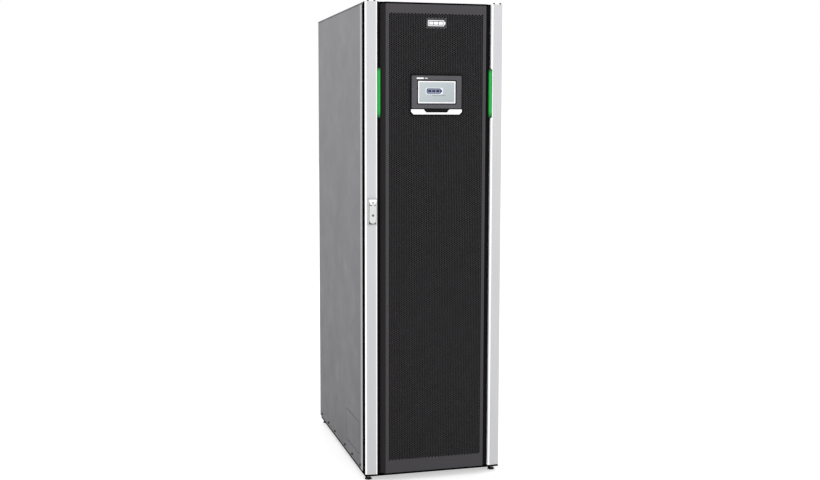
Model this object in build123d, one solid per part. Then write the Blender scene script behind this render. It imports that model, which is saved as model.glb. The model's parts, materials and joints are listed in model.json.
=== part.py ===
from build123d import *
import os
from math import cos, pi, sin, radians

# Floor-standing battery cabinet. Millimetres, +Z up, front towards -Y.
# The origin is on the floor, under the middle of the whole cabinet.

# Overall sizes
HALF_WIDTH = 280.0                      # to the outside of the side panels
REAR_Y = 470.0
DOOR_EDGE_Y = -444.0                    # plane of the door's outer front edges
CABINET_FRONT_Y = -414.0
BASE_BOTTOM = 19.0
BASE_LIP_TOP = 30.0
BASE_TOP = 92.0
FRAME_TOP = 1862.0
ROOF_TOP = 1870.0
SHEET = 1.5

# Side panels
SIDE_FRONT = CABINET_FRONT_Y + 44.0
SIDE_BOTTOM = 31.0
SIDE_SCREW_Z = 45.5
HATCH = (-339.0, -102.0, 81.0, 214.0)   # y, y, z, z

# Frame
FRAME_X = HALF_WIDTH - SHEET            # outside of the posts
POST_WIDTH = 38.5
POST_DEPTH = 40.0
POST_WALL = 2.0
POST_TOP = 1822.0
POST_IN_X = FRAME_X - POST_WIDTH
FRONT_POST_BACK = CABINET_FRONT_Y + POST_DEPTH
REAR_POST_FRONT = 422.0
REAR_POST_BACK = REAR_POST_FRONT + POST_DEPTH
BRACE_OUT_X = 276.0
CROSS_BAR_X = 248.0

# Base
BASE_X = 277.0
BASE_LIP_FRONT = DOOR_EDGE_Y + 8.0
BASE_BACK = REAR_POST_BACK
BASE_OPEN_X = 237.0
BASE_OPEN_FRONT = -364.0
BASE_OPEN_BACK = 412.0
ANCHOR_X = 250.0
ANCHOR_YS = (-250.0, 300.0)
BOLT_HOLE_R = 6.5
LIFT_X = 256.0
LIFT_YS = (-380.0, 430.0)

# Levelling feet
FOOT_X = 258.0
FOOT_YS = {"front": -404.0, "rear": 440.0}
FOOT_PAD_R = 14.0
FOOT_PAD_TOP = 8.0
FOOT_STEM_R = 5.0
FOOT_STEM_TOP = 78.0

# Castors
CASTOR_X = 180.0
CASTOR_FRONT_Y = -310.0
CASTOR_REAR_Y = 375.0
CASTOR_TRAIL = 22.0
WHEEL_R = 25.0
WHEEL_Z = 28.0
WHEEL_HALF = 11.0
AXLE_R = 4.0
KINGPIN_R = 5.0
RUNNING_GAP = 0.05

# Door
DOOR_X = 279.0
DOOR_BOTTOM = 31.0
DOOR_TOP = ROOF_TOP
DOOR_BACK = -24.0                       # depths on the door are measured forward of its edge plane
PAN_FRONT = -8.0
PAN_OPEN_X = 216.0
PAN_OPEN_BOTTOM = 80.0
PAN_OPEN_TOP = 1829.0
PILLAR_IN_X = 227.5
PILLAR_CAP = 3.0
BEZEL_X = 218.75
BEZEL_FACE_X = 201.0
BEZEL_FACE = 18.0
BEZEL_WALL = 2.0
SHEET_BACK = BEZEL_FACE - BEZEL_WALL
BEZEL_BOTTOM = 35.0
BEZEL_TOP = 1868.0
WINDOW_X = 195.0
WINDOW_BOTTOM = 77.0
WINDOW_TOP = 1837.0
FILTER_DEPTH = 8.0
BADGE_FACE = 19.5
BADGE_HALF_X = 35.0
BADGE_BOTTOM = 1780.0
BADGE_TOP = 1802.0

# Hinge
HINGE_X = 267.0
HINGE_DEPTH = -12.0
HINGE_ZS = (200.0, 950.0, 1700.0)
HINGE_PIN_R = 4.0
HINGE_KNUCKLE_R = 8.0
HINGE_HALF = 22.0

# Display
SCREEN_Z = 1528.0
SCREEN_HALF_X = 75.0
SCREEN_HALF_Z = 42.5
DISPLAY_HALF_X = 100.0
DISPLAY_BOTTOM = 1466.0
DISPLAY_TOP = 1591.5
DISPLAY_FACE = 26.0
DISPLAY_BOX_X = 88.0
DISPLAY_BOX_BOTTOM = 1477.0
DISPLAY_BOX_TOP = 1581.0
TRIM_HALF_X = 102.0
TRIM_BOTTOM = 1443.0
TRIM_TOP = 1462.5

# Light bars
LIGHT_BOTTOM = 1433.0
LIGHT_TOP = 1617.0
LIGHT_IN_X = 219.5
LIGHT_OUT_X = 232.0
LIGHT_FACE = 6.0

# Lock
LOCK_X = -251.7
LOCK_Z = 1104.0
LOCK_HALF_X = 17.0
LOCK_BOTTOM = LOCK_Z - 86.0
LOCK_TOP = LOCK_Z + 17.0
LOCK_FACE = 8.5
LOCK_DISH = 3.5
CAP_TOP = LOCK_Z + 13.5
CAP_BOTTOM = LOCK_Z - 6.5
CAP_X = 14.0
CAP_LOW_X = 10.0
TILT_Z = LOCK_Z - 3.0
TILT_DEPTH = 14.0
HANDLE_HALF_X = 13.0
HANDLE_TOP = LOCK_Z - 10.0
HANDLE_BOTTOM = LOCK_Z - 79.5
HANDLE_BACK = 9.1
HANDLE_FACE = 18.1
KEY_Z = LOCK_Z - 48.0
KEY_R = 4.5
CAM_PIN_REACH = 12.0

# Equipment inside
RAIL_FACE_Y = -366.0
REAR_RAIL_Y = 250.0
RAIL_IN_X = 216.0
RAIL_OUT_X = 252.0
RAIL_SHEET = 2.5
RACK_UNIT = 44.45
FACEPLATE_X = 238.0
FACEPLATE_FRONT = RAIL_FACE_Y - RAIL_SHEET
CASE_X = 212.0
MODULE_COUNT = 4
MODULE_PITCH = 5 * RACK_UNIT
MODULE_BOTTOM = 110.0
MODULE_HEIGHT = 212.0
MODULE_BACK = 170.0
BUSBAR_X = 60.0
BUSBAR_Y = 230.0
CONNECTOR_LOW = 85.0
CONNECTOR_HIGH = 135.0
CONNECTOR_FRONT = FACEPLATE_FRONT - 26.0
CABLE_XS = (110.0, 134.0)
CABLE_R = 5.0
CABLE_Y = FACEPLATE_FRONT - 13.0

# Upper bay
CONTROL_BOTTOM = 1002.0
CONTROL_TOP = 1196.0
BREAKER_Z = 1100.0
BREAKER_AXIS_Y = -378.0
POWER_BOTTOM = 1204.0
POWER_HEIGHT = 146.0
POWER_PITCH = 150.0
FAN_BOTTOM = 1504.0
FAN_TOP = 1700.0
FAN_X = 110.0
FAN_Z = 1602.0
FAN_R = 64.0


def block(x0, x1, y0, y1, z0, z1):
    middle = Pos((x0 + x1) / 2, (y0 + y1) / 2, (z0 + z1) / 2)
    return middle * Box(abs(x1 - x0), abs(y1 - y0), abs(z1 - z0))


def rod_z(x, y, z0, z1, radius):
    return Pos(x, y, (z0 + z1) / 2) * Cylinder(radius, abs(z1 - z0))


def rod_y(x, z, y0, y1, radius):
    return Pos(x, (y0 + y1) / 2, z) * Rot(90, 0, 0) * Cylinder(radius, abs(y1 - y0))


def rod_x(y, z, x0, x1, radius):
    return Pos((x0 + x1) / 2, y, z) * Rot(0, 90, 0) * Cylinder(radius, abs(x1 - x0))


def upright(points, z0, z1):
    """A vertical prism over an outline in X and Y."""
    outline = Polyline(*points, close=True)
    return Pos(0, 0, z0) * extrude(make_face(outline), z1 - z0, dir=(0, 0, 1))


def slab(points, y0, y1):
    """A plate facing the front, over an outline in X and Z."""
    outline = Polyline(*[(x, y0, z) for x, z in points], close=True)
    return extrude(make_face(outline), abs(y1 - y0), dir=(0, 1 if y1 > y0 else -1, 0))


def mirrored(shape):
    return mirror(shape, about=Plane.YZ)


def ahead(depth):
    """Y of a point on the door that stands this far forward of its edge plane."""
    return DOOR_EDGE_Y - depth


def tube_between(lower, upper, wall, axis):
    """A rectangular tube from corner to corner, open at both ends along the axis."""
    low = [value + wall for value in lower]
    high = [value - wall for value in upper]
    low[axis] = lower[axis] - 1
    high[axis] = upper[axis] + 1
    outer = block(lower[0], upper[0], lower[1], upper[1], lower[2], upper[2])
    return outer - block(low[0], high[0], low[1], high[1], low[2], high[2])


def save(name, *shapes):
    solids = [solid for shape in shapes for solid in shape.solids()]
    export_step(Compound(children=solids), f"parts/{name}.step")


def base_frame():
    lip = block(-BASE_X, BASE_X, BASE_LIP_FRONT, BASE_BACK, BASE_BOTTOM, BASE_LIP_TOP)
    ring = block(-BASE_X, BASE_X, CABINET_FRONT_Y, BASE_BACK, BASE_LIP_TOP, BASE_TOP)
    web = 3.0
    flange = 4.0
    inner_y = (CABINET_FRONT_Y + web, BASE_BACK - web)
    ring -= block(-BASE_X + web, BASE_X - web, *inner_y, BASE_LIP_TOP, BASE_TOP - flange)
    base = lip + ring
    base -= block(-BASE_OPEN_X, BASE_OPEN_X, BASE_OPEN_FRONT, BASE_OPEN_BACK, 0, BASE_TOP + 1)
    for y0, y1 in ((-362.0, -258.0), (320.0, 410.0)):
        base += block(-BASE_X + web, BASE_X - web, y0, y1, 70, 76)
    for side in (-1, 1):
        for y in FOOT_YS.values():
            base += rod_z(side * FOOT_X, y, BASE_LIP_TOP, BASE_TOP - flange, 9)
            base -= rod_z(side * FOOT_X, y, BASE_BOTTOM - 1, BASE_TOP + 1, FOOT_STEM_R + RUNNING_GAP)
        for y in ANCHOR_YS:
            base -= rod_z(side * ANCHOR_X, y, BASE_BOTTOM - 1, BASE_LIP_TOP + 1, BOLT_HOLE_R)
    return base


def cabinet_frame():
    """Four tube posts and the four tube beams that join their tops."""
    pieces = []
    for y0 in (CABINET_FRONT_Y, REAR_POST_FRONT):
        y1 = y0 + POST_DEPTH
        post = tube_between((POST_IN_X, y0, BASE_TOP), (FRAME_X, y1, POST_TOP), POST_WALL, 2)
        cross = tube_between((-POST_IN_X, y0, POST_TOP), (POST_IN_X, y1, FRAME_TOP), POST_WALL, 0)
        pieces += [post, mirrored(post), cross]
    side_low = (POST_IN_X, CABINET_FRONT_Y, POST_TOP)
    side = tube_between(side_low, (FRAME_X, REAR_POST_BACK, FRAME_TOP), POST_WALL, 1)
    for y in LIFT_YS:
        side -= rod_z(LIFT_X, y, FRAME_TOP - 4, FRAME_TOP + 1, BOLT_HOLE_R)
    return pieces + [side, mirrored(side)]


def frame_braces():
    """Six side braces between the posts, and three cross bars behind the modules."""
    pieces = []
    for z in (120.0, 950.0, 1780.0):
        high = (BRACE_OUT_X, REAR_POST_FRONT, z + 30)
        brace = tube_between((RAIL_OUT_X, FRONT_POST_BACK, z), high, POST_WALL, 1)
        pieces += [brace, mirrored(brace)]
    for z in (300.0, 760.0, 1220.0):
        low = (-CROSS_BAR_X, REAR_RAIL_Y, z - 15)
        pieces.append(tube_between(low, (CROSS_BAR_X, REAR_RAIL_Y + 24, z + 15), POST_WALL, 0))
    return pieces


def roof_panel():
    roof = block(-HALF_WIDTH, HALF_WIDTH, CABINET_FRONT_Y, REAR_Y, FRAME_TOP, ROOF_TOP)
    roof = fillet(roof.edges().group_by(Axis.Z)[-1].filter_by(Axis.Y), 3.0)
    wall = 1.5
    inner_y = (CABINET_FRONT_Y + wall, REAR_Y - wall)
    roof -= block(-HALF_WIDTH + wall, HALF_WIDTH - wall, *inner_y, FRAME_TOP - 1, ROOF_TOP - 3)
    for side in (-1, 1):
        for y in LIFT_YS:
            roof += rod_z(side * LIFT_X, y, FRAME_TOP, ROOF_TOP - 3, 12)
            roof -= rod_z(side * LIFT_X, y, FRAME_TOP - 1, ROOF_TOP + 1, BOLT_HOLE_R)
    return roof - block(-140, 140, 250, 370, FRAME_TOP - 1, ROOF_TOP + 1)


def side_panel():
    panel = block(FRAME_X, HALF_WIDTH, SIDE_FRONT, REAR_Y, SIDE_BOTTOM, FRAME_TOP)
    panel += block(HALF_WIDTH - 15, HALF_WIDTH, REAR_Y - SHEET, REAR_Y, SIDE_BOTTOM, FRAME_TOP)
    return panel - block(FRAME_X - 1, HALF_WIDTH + 1, *HATCH)


def cover_plates():
    """The two service covers low in the sides, and the cable plate in the roof."""
    y0, y1, z0, z1 = HATCH
    gap = 2.2
    lap = 8.0
    cover = block(FRAME_X, HALF_WIDTH, y0 + gap, y1 - gap, z0 + gap, z1 - gap)
    cover += block(FRAME_X - SHEET, FRAME_X, y0 - lap, y1 + lap, z0 - lap, z1 + lap)
    gland = block(-138.5, 138.5, 251.5, 368.5, ROOF_TOP - 3, ROOF_TOP)
    gland += block(-150, 150, 240, 380, ROOF_TOP - 5, ROOF_TOP - 3)
    return [cover, mirrored(cover), gland]


def corner_trims():
    trim = block(FRAME_X, HALF_WIDTH, CABINET_FRONT_Y + 16, SIDE_FRONT, SIDE_BOTTOM, FRAME_TOP)
    return [trim, mirrored(trim)]


def rear_panel():
    half = 264.0
    face = REAR_Y - 2.0
    panel = block(-half, half, REAR_POST_BACK, face, SIDE_BOTTOM, FRAME_TOP)
    inner = half - SHEET
    panel -= block(-inner, inner, REAR_POST_BACK - 1, face - SHEET, SIDE_BOTTOM + SHEET, FRAME_TOP - SHEET)
    slot_half = 95.0
    for first in (190.0, 1240.0):
        for row in range(16):
            z = first + 26.0 * row
            for x in (-115.0, 115.0):
                panel -= block(x - slot_half, x + slot_half, REAR_POST_BACK, REAR_Y, z, z + 8)
    return panel


def panel_screws():
    """Pan-head screws along the bottom of each side and down both edges of the back."""
    screws = []
    for y in (-361.0, -214.0, -74.0, 132.0, 273.0, 424.0):
        head = rod_x(y, SIDE_SCREW_Z, HALF_WIDTH, HALF_WIDTH + 1.5, 4)
        head += rod_x(y, SIDE_SCREW_Z, BASE_X, HALF_WIDTH, 1.5)
        screws += [head, mirrored(head)]
    for z in (60.0, 480.0, 950.0, 1420.0, 1835.0):
        head = rod_y(252, z, REAR_Y - 2, REAR_Y, 4.5)
        screws += [head, mirrored(head)]
    return screws


def hinge_brackets():
    """A knuckle for each door pin, on an arm that reaches round from the right front post."""
    brackets = []
    for z in HINGE_ZS:
        axis_y = ahead(HINGE_DEPTH)
        low, high = z - HINGE_HALF, z + HINGE_HALF
        direction = Vector(-sin(radians(55)), cos(radians(55)))
        across = Vector(cos(radians(55)), sin(radians(55))) * 3.5
        start = Vector(HINGE_X, axis_y)
        end = start + direction * 27.0
        arm = upright([start + across, start - across, end - across, end + across], low, high)
        plate = block(241, 258, CABINET_FRONT_Y - 3, CABINET_FRONT_Y, low, high)
        bracket = arm + plate + rod_z(HINGE_X, axis_y, low, high, HINGE_KNUCKLE_R)
        bracket -= block(230, HINGE_X, CABINET_FRONT_Y, CABINET_FRONT_Y + 10, low - 1, high + 1)
        brackets.append(bracket - rod_z(HINGE_X, axis_y, low - 1, high + 1, HINGE_PIN_R + RUNNING_GAP))
    return brackets


def hinge_pins():
    reach = HINGE_HALF + 15.0
    return [rod_z(HINGE_X, ahead(HINGE_DEPTH), z - reach, z + reach, HINGE_PIN_R) for z in HINGE_ZS]


def levelling_foot(x, y):
    pad = Pos(x, y, 1.5) * Cylinder(FOOT_PAD_R, 3)
    cone = Pos(x, y, 3 + (FOOT_PAD_TOP - 3) / 2) * Cone(FOOT_PAD_R, 7, FOOT_PAD_TOP - 3)
    return pad + cone + rod_z(x, y, FOOT_PAD_TOP - 1, FOOT_STEM_TOP, FOOT_STEM_R)


def fork(x, y, trail, bore):
    """A castor fork with its axle, its crown bored for the kingpin where it swivels."""
    axle_y = y + trail
    body = block(x - 16, x + 16, y - 14, axle_y + 9, 57, 61)
    for side in (-1, 1):
        inner = x + side * 13.0
        body += block(inner, inner + side * 3.0, axle_y - 9, axle_y + 9, 20, 61)
    body += rod_x(axle_y, WHEEL_Z, x - 18, x + 18, AXLE_R)
    if bore:
        body += rod_z(x, y, 57, 65.5, 12)
        body -= rod_z(x, y, 50, 70, KINGPIN_R + RUNNING_GAP)
    return body


def castor_wheel(x, axle_y):
    wheel = rod_x(axle_y, WHEEL_Z, x - WHEEL_HALF, x + WHEEL_HALF, WHEEL_R)
    wheel = fillet(wheel.edges().filter_by(GeomType.CIRCLE), 3.0)
    return wheel - rod_x(axle_y, WHEEL_Z, x - 12, x + 12, AXLE_R + RUNNING_GAP)


def castor_mounts():
    """Top plates with kingpins for the swivel pair, and the two rigid forks at the back."""
    pieces = []
    for x in (-CASTOR_X, CASTOR_X):
        front = block(x - 32, x + 32, CASTOR_FRONT_Y - 28, CASTOR_FRONT_Y + 28, 66, 70)
        pieces.append(front + rod_z(x, CASTOR_FRONT_Y, 55.5, 66, KINGPIN_R))
        rear = block(x - 32, x + 32, CASTOR_REAR_Y - 28, CASTOR_REAR_Y + 28, 66, 70)
        rear += block(x - 16, x + 16, CASTOR_REAR_Y - 9, CASTOR_REAR_Y + 9, 61, 66)
        pieces.append(rear + fork(x, CASTOR_REAR_Y, 0, False))
    return pieces


def door_frame():
    """A folded pan, open at the back, with hinge blocks in its right stile and rod guides in its left."""
    fold = 1.5
    back, front = ahead(DOOR_BACK), ahead(PAN_FRONT)
    pan = block(-DOOR_X, DOOR_X, back, front, DOOR_BOTTOM, DOOR_TOP)
    pan -= block(-PAN_OPEN_X, PAN_OPEN_X, back + 1, front - 1, PAN_OPEN_BOTTOM, PAN_OPEN_TOP)
    outer_x = DOOR_X - fold
    hollow = block(-outer_x, outer_x, back + 1, front + fold, DOOR_BOTTOM + fold, DOOR_TOP - fold)
    inner_x = PAN_OPEN_X + fold
    hollow -= block(-inner_x, inner_x, back + 2, front, PAN_OPEN_BOTTOM - fold, PAN_OPEN_TOP + fold)
    pan -= hollow
    for side in (-1, 1):
        pan += block(side * DOOR_X, side * (DOOR_X - fold), ahead(-2), front, DOOR_BOTTOM, DOOR_TOP)
    axis_y = ahead(HINGE_DEPTH)
    window = HINGE_HALF + 3.0
    for z in HINGE_ZS:
        for end in (-1, 1):
            near, far = z + end * window, z + end * (window + 12)
            pan += block(256, DOOR_X - fold, ahead(-21), front + fold, near, far)
        pan -= block(255, DOOR_X - fold, back + 1, front - 1, z - window, z + window)
        pan -= block(DOOR_X - fold - 1, DOOR_X + 1, back + 1, axis_y, z - window - 3, z + window + 3)
        reach = HINGE_HALF + 16.0
        pan -= rod_z(HINGE_X, axis_y, z - reach, z + reach, HINGE_PIN_R + RUNNING_GAP)
    for z, offset, depth in ((1400.0, 8, -15.5), (1740.0, 8, -15.5), (700.0, -8, -20), (330.0, -8, -20)):
        x = LOCK_X + offset
        guide = block(x - 9, x + 9, ahead(depth - 3), front + fold, z - 5, z + 5)
        pan += guide - block(x - 5.2, x + 5.2, ahead(depth - 1.7), ahead(depth + 1.7), z - 6, z + 6)
    return pan - rod_y(LOCK_X, LOCK_Z, front + 5, front - 5, 9)


def pillar(outline, hollow):
    shell = upright([(x, ahead(depth)) for x, depth in outline], DOOR_BOTTOM, DOOR_TOP)
    inside = [(x, ahead(depth)) for x, depth in hollow]
    return shell - upright(inside, DOOR_BOTTOM + PILLAR_CAP, DOOR_TOP - PILLAR_CAP)


def right_pillar():
    """An extruded front post, open at the back, with a notch for its light bar."""
    edge = DOOR_X - 1.5
    outline = [(DOOR_X, -2), (DOOR_X, 0), (271, 4), (235, 7.5), (PILLAR_IN_X, 4), (PILLAR_IN_X, PAN_FRONT)]
    outline += [(edge, PAN_FRONT), (edge, -2)]
    inside = PILLAR_IN_X + 2.5
    hollow = [(edge - 2, PAN_FRONT), (edge - 2, -0.6), (270.5, 1.4), (235.3, 4.9)]
    hollow += [(inside, 2.4), (inside, PAN_FRONT)]
    body = pillar(outline, hollow)
    low, high = LIGHT_BOTTOM - 0.6, LIGHT_TOP + 0.6
    edge_x = LIGHT_OUT_X + 0.4
    notch = [(PILLAR_IN_X - 1, low - 5), (edge_x, low), (edge_x, high), (PILLAR_IN_X - 1, high + 5)]
    return body - slab(notch, ahead(PAN_FRONT - 1), ahead(9))


def light_bars():
    """A clear bar in each channel beside the pillars, its ends cut at 45 degrees."""
    inner, outer = LIGHT_IN_X, LIGHT_OUT_X
    cut = outer - inner - 4
    points = [(inner, LIGHT_BOTTOM), (inner + 4, LIGHT_BOTTOM - cut + 5), (outer, LIGHT_BOTTOM + 1)]
    points += [(outer, LIGHT_TOP - 1), (inner + 4, LIGHT_TOP + cut - 5), (inner, LIGHT_TOP)]
    bar = slab(points, ahead(PAN_FRONT), ahead(LIGHT_FACE))
    return [bar, mirrored(bar)]


def door_bezel():
    """The raised middle panel: bevelled sides, a wide frame and a tall window."""
    outline = [(-BEZEL_X, PAN_FRONT), (-BEZEL_X, 0), (-BEZEL_FACE_X, BEZEL_FACE)]
    outline += [(BEZEL_FACE_X, BEZEL_FACE), (BEZEL_X, 0), (BEZEL_X, PAN_FRONT)]
    leg, shoulder = BEZEL_X - BEZEL_WALL, BEZEL_FACE_X - 1.2
    hollow = [(-leg, PAN_FRONT - 1), (-leg, -0.6), (-shoulder, BEZEL_FACE - BEZEL_WALL)]
    hollow += [(shoulder, BEZEL_FACE - BEZEL_WALL), (leg, -0.6), (leg, PAN_FRONT - 1)]
    body = upright([(x, ahead(depth)) for x, depth in outline], BEZEL_BOTTOM, BEZEL_TOP)
    inside = [(x, ahead(depth)) for x, depth in hollow]
    body -= upright(inside, BEZEL_BOTTOM + BEZEL_WALL, BEZEL_TOP - BEZEL_WALL)
    return body - block(-WINDOW_X, WINDOW_X, ahead(0), ahead(BEZEL_FACE + 1), WINDOW_BOTTOM, WINDOW_TOP)


def display_opening():
    half = DISPLAY_BOX_X + 1
    return block(-half, half, ahead(0), ahead(20), DISPLAY_BOX_BOTTOM - 1, DISPLAY_BOX_TOP + 1)


def door_sheet():
    """The panel that fills the window, flush with the bezel's face."""
    sheet = block(-WINDOW_X, WINDOW_X, ahead(SHEET_BACK), ahead(BEZEL_FACE), WINDOW_BOTTOM, WINDOW_TOP)
    return sheet - display_opening()


def dust_filter():
    pad = block(-WINDOW_X, WINDOW_X, ahead(FILTER_DEPTH), ahead(SHEET_BACK), WINDOW_BOTTOM, WINDOW_TOP)
    return pad - display_opening()


def badge():
    half = BADGE_HALF_X
    plate = block(-half, half, ahead(BEZEL_FACE), ahead(BADGE_FACE), BADGE_BOTTOM, BADGE_TOP)
    return fillet(plate.edges().filter_by(Axis.Y), 3.0)


def display_housing():
    face = block(
        -DISPLAY_HALF_X, DISPLAY_HALF_X, ahead(BEZEL_FACE), ahead(DISPLAY_FACE), DISPLAY_BOTTOM, DISPLAY_TOP
    )
    face = fillet(face.edges().filter_by(Axis.Y), 4.0)
    face = fillet(face.faces().sort_by(Axis.Y)[0].edges(), 1.5)
    half_x, half_z = SCREEN_HALF_X + 0.5, SCREEN_HALF_Z + 0.5
    face -= block(-half_x, half_x, ahead(23), ahead(30), SCREEN_Z - half_z, SCREEN_Z + half_z)
    box = block(
        -DISPLAY_BOX_X, DISPLAY_BOX_X, ahead(-16), ahead(BEZEL_FACE), DISPLAY_BOX_BOTTOM, DISPLAY_BOX_TOP
    )
    return face + box


def display_screen():
    low, high = SCREEN_Z - SCREEN_HALF_Z, SCREEN_Z + SCREEN_HALF_Z
    return block(-SCREEN_HALF_X, SCREEN_HALF_X, ahead(23), ahead(25.2), low, high)


def display_trim():
    """The light bar under the display, notched at its top and cut at its lower corners."""
    corner = 10.0
    lower = [(-TRIM_HALF_X, TRIM_BOTTOM + corner), (-TRIM_HALF_X + corner, TRIM_BOTTOM)]
    notch = [(-52.0, TRIM_TOP), (-42.0, TRIM_TOP - 12.0)]
    left = [(-TRIM_HALF_X, TRIM_TOP)] + lower
    right = [(-x, z) for x, z in reversed(left)]
    points = left + right + [(-x, z) for x, z in notch] + list(reversed(notch))
    return slab(points, ahead(BEZEL_FACE), ahead(24))


def pillar_screws():
    screws = []
    for x in (266.2, 240.5):
        head = rod_z(x, ahead(-3), DOOR_TOP, DOOR_TOP + 6, 3.8)
        head = fillet(head.edges().group_by(Axis.Z)[-1], 1.0)
        screws += [head, mirrored(head)]
    return screws


def lock_escutcheon():
    plate = block(
        LOCK_X - LOCK_HALF_X, LOCK_X + LOCK_HALF_X, ahead(PAN_FRONT), ahead(LOCK_FACE), LOCK_BOTTOM, LOCK_TOP
    )
    plate = fillet(plate.edges().filter_by(Axis.Y), 5.0)
    rim = 2.5
    dish = block(
        LOCK_X - LOCK_HALF_X + rim, LOCK_X + LOCK_HALF_X - rim,
        ahead(LOCK_DISH), ahead(LOCK_FACE + 1), LOCK_BOTTOM + rim, LOCK_TOP - rim
    )
    plate -= fillet(dish.edges().filter_by(Axis.Y), 3.0)
    return plate - rod_y(LOCK_X, LOCK_Z, ahead(PAN_FRONT - 1), ahead(10), 10 + RUNNING_GAP)


def lock_spindle():
    """Hub, front cap, cam and the two pins that carry the latch rods."""
    outline = [(LOCK_X - CAP_LOW_X, CAP_BOTTOM), (LOCK_X + CAP_LOW_X, CAP_BOTTOM)]
    outline += [(LOCK_X + CAP_X, CAP_TOP - 5), (LOCK_X + CAP_X, CAP_TOP), (LOCK_X - CAP_X, CAP_TOP)]
    cap = slab(outline + [(LOCK_X - CAP_X, CAP_TOP - 5)], ahead(9), ahead(19))
    cap = fillet(cap.edges().filter_by(Axis.Y).group_by(Axis.Z)[-1], 4.0)
    cap -= block(LOCK_X - 4.3, LOCK_X + 4.3, ahead(9), ahead(20), CAP_BOTTOM - 1, LOCK_Z + 3.5)
    spindle = cap + rod_y(LOCK_X, LOCK_Z, ahead(-7.5), ahead(9), 10)
    spindle += rod_y(LOCK_X, LOCK_Z, ahead(-10.5), ahead(-7.5), 8)
    spindle += rod_y(LOCK_X, LOCK_Z, ahead(-13.5), ahead(-10.5), 15)
    for side in (-1, 1):
        spindle += rod_y(LOCK_X + side * CAM_PIN_REACH, LOCK_Z, ahead(-22), ahead(-13.5), 2.4)
    return spindle - rod_x(ahead(TILT_DEPTH), TILT_Z, LOCK_X - 20, LOCK_X + 20, 2.5 + RUNNING_GAP)


def lock_handle():
    """A flat lever with a round end and a tongue that hangs from the tilt pin."""
    half = HANDLE_HALF_X
    back, front = ahead(HANDLE_BACK), ahead(HANDLE_FACE)
    lever = block(LOCK_X - half, LOCK_X + half, back, front, HANDLE_BOTTOM + half, HANDLE_TOP)
    lever += rod_y(LOCK_X, HANDLE_BOTTOM + half, back, front, half)
    lever = fillet(lever.faces().sort_by(Axis.Y)[0].edges(), 1.5)
    tongue = (ahead(TILT_DEPTH - 4.5), ahead(TILT_DEPTH + 3.5))
    lever += block(LOCK_X - 4, LOCK_X + 4, *tongue, HANDLE_TOP - 5, TILT_Z)
    lever += rod_x(ahead(TILT_DEPTH), TILT_Z, LOCK_X - 4, LOCK_X + 4, 4.5)
    lever += rod_x(ahead(TILT_DEPTH), TILT_Z, LOCK_X - 11, LOCK_X + 11, 2.5)
    return lever - rod_y(LOCK_X, KEY_Z, ahead(8), ahead(20), KEY_R + RUNNING_GAP)


def key_cylinder():
    barrel = rod_y(LOCK_X, KEY_Z, ahead(9.3), ahead(HANDLE_FACE + 0.5), KEY_R)
    return barrel - block(LOCK_X - 0.6, LOCK_X + 0.6, ahead(14), ahead(20), KEY_Z - 3, KEY_Z + 3)


def latch_rod(side, depth, end_z):
    """A flat rod and its slotted end, which leaves the cam pin the room it needs."""
    back, front = ahead(depth - 1.5), ahead(depth + 1.5)
    far = LOCK_X + side * 18.0
    near = LOCK_X - side * 4.0
    plate = block(near, far, back, front, LOCK_Z - 9, LOCK_Z + 9)
    inner = LOCK_X - side * 4.5
    plate -= block(inner, LOCK_X + side * 15.0, back + 1, front - 1, LOCK_Z - 5.2, LOCK_Z + 5.2)
    x = LOCK_X + side * 8.0
    start = LOCK_Z + side * 8.0
    return plate + block(x - 5, x + 5, back, front, start, end_z)


def mounting_rails():
    """Front and rear equipment rails with square holes, and the runners that carry the modules."""
    pieces = []
    for face, inward in ((RAIL_FACE_Y, 1), (REAR_RAIL_Y, -1)):
        rail = block(RAIL_IN_X, RAIL_OUT_X, face, face + inward * RAIL_SHEET, BASE_TOP, POST_TOP)
        rail += block(RAIL_OUT_X - RAIL_SHEET, RAIL_OUT_X, face, face + inward * 40, BASE_TOP, POST_TOP)
        holes = int((POST_TOP - MODULE_BOTTOM) // RACK_UNIT)
        for number in range(holes):
            z = MODULE_BOTTOM + RACK_UNIT * (number + 0.5)
            rail -= block(222.2, 231.8, face - 5, face + 5, z - 4.8, z + 4.8)
        pieces += [rail, mirrored(rail)]
    wall_x = RAIL_OUT_X - RAIL_SHEET
    levels = [MODULE_BOTTOM + MODULE_PITCH * number for number in range(MODULE_COUNT)]
    levels += [CONTROL_BOTTOM + 6, POWER_BOTTOM, POWER_BOTTOM + POWER_PITCH, FAN_BOTTOM]
    for z in levels:
        y0, y1 = RAIL_FACE_Y + RAIL_SHEET, REAR_RAIL_Y - RAIL_SHEET
        runner = block(200, wall_x, y0, y1, z - RAIL_SHEET, z)
        runner += block(wall_x - RAIL_SHEET, wall_x, y0, y1, z, z + 25)
        pieces += [runner, mirrored(runner)]
    return pieces


def faceplate(z0, z1):
    plate = block(-FACEPLATE_X, FACEPLATE_X, FACEPLATE_FRONT, RAIL_FACE_Y, z0, z1)
    return fillet(plate.edges().filter_by(Axis.Y), 2.0)


def hollow_case(z0, z1, back, wall=1.2):
    case = block(-CASE_X, CASE_X, RAIL_FACE_Y, back, z0, z1)
    return case - block(-CASE_X + wall, CASE_X - wall, RAIL_FACE_Y + wall, back - wall, z0 + wall, z1 - wall)


def battery_module(number):
    """A steel tray with a vented front, open at the back where the busbar tabs enter."""
    z = MODULE_BOTTOM + MODULE_PITCH * number
    tray = hollow_case(z, z + MODULE_HEIGHT, MODULE_BACK)
    tray += faceplate(z, z + MODULE_PITCH - 3)
    for row in range(7):
        slot_z = z + 62 + 14 * row
        for x in (-120.0, -10.0):
            tray -= block(x - 45, x + 45, FACEPLATE_FRONT - 1, RAIL_FACE_Y + 2, slot_z, slot_z + 5)
    for x in (-BUSBAR_X, BUSBAR_X):
        tray -= block(x - 25, x + 25, MODULE_BACK - 5, MODULE_BACK + 1, z + 80, z + 130)
    return tray


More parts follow.
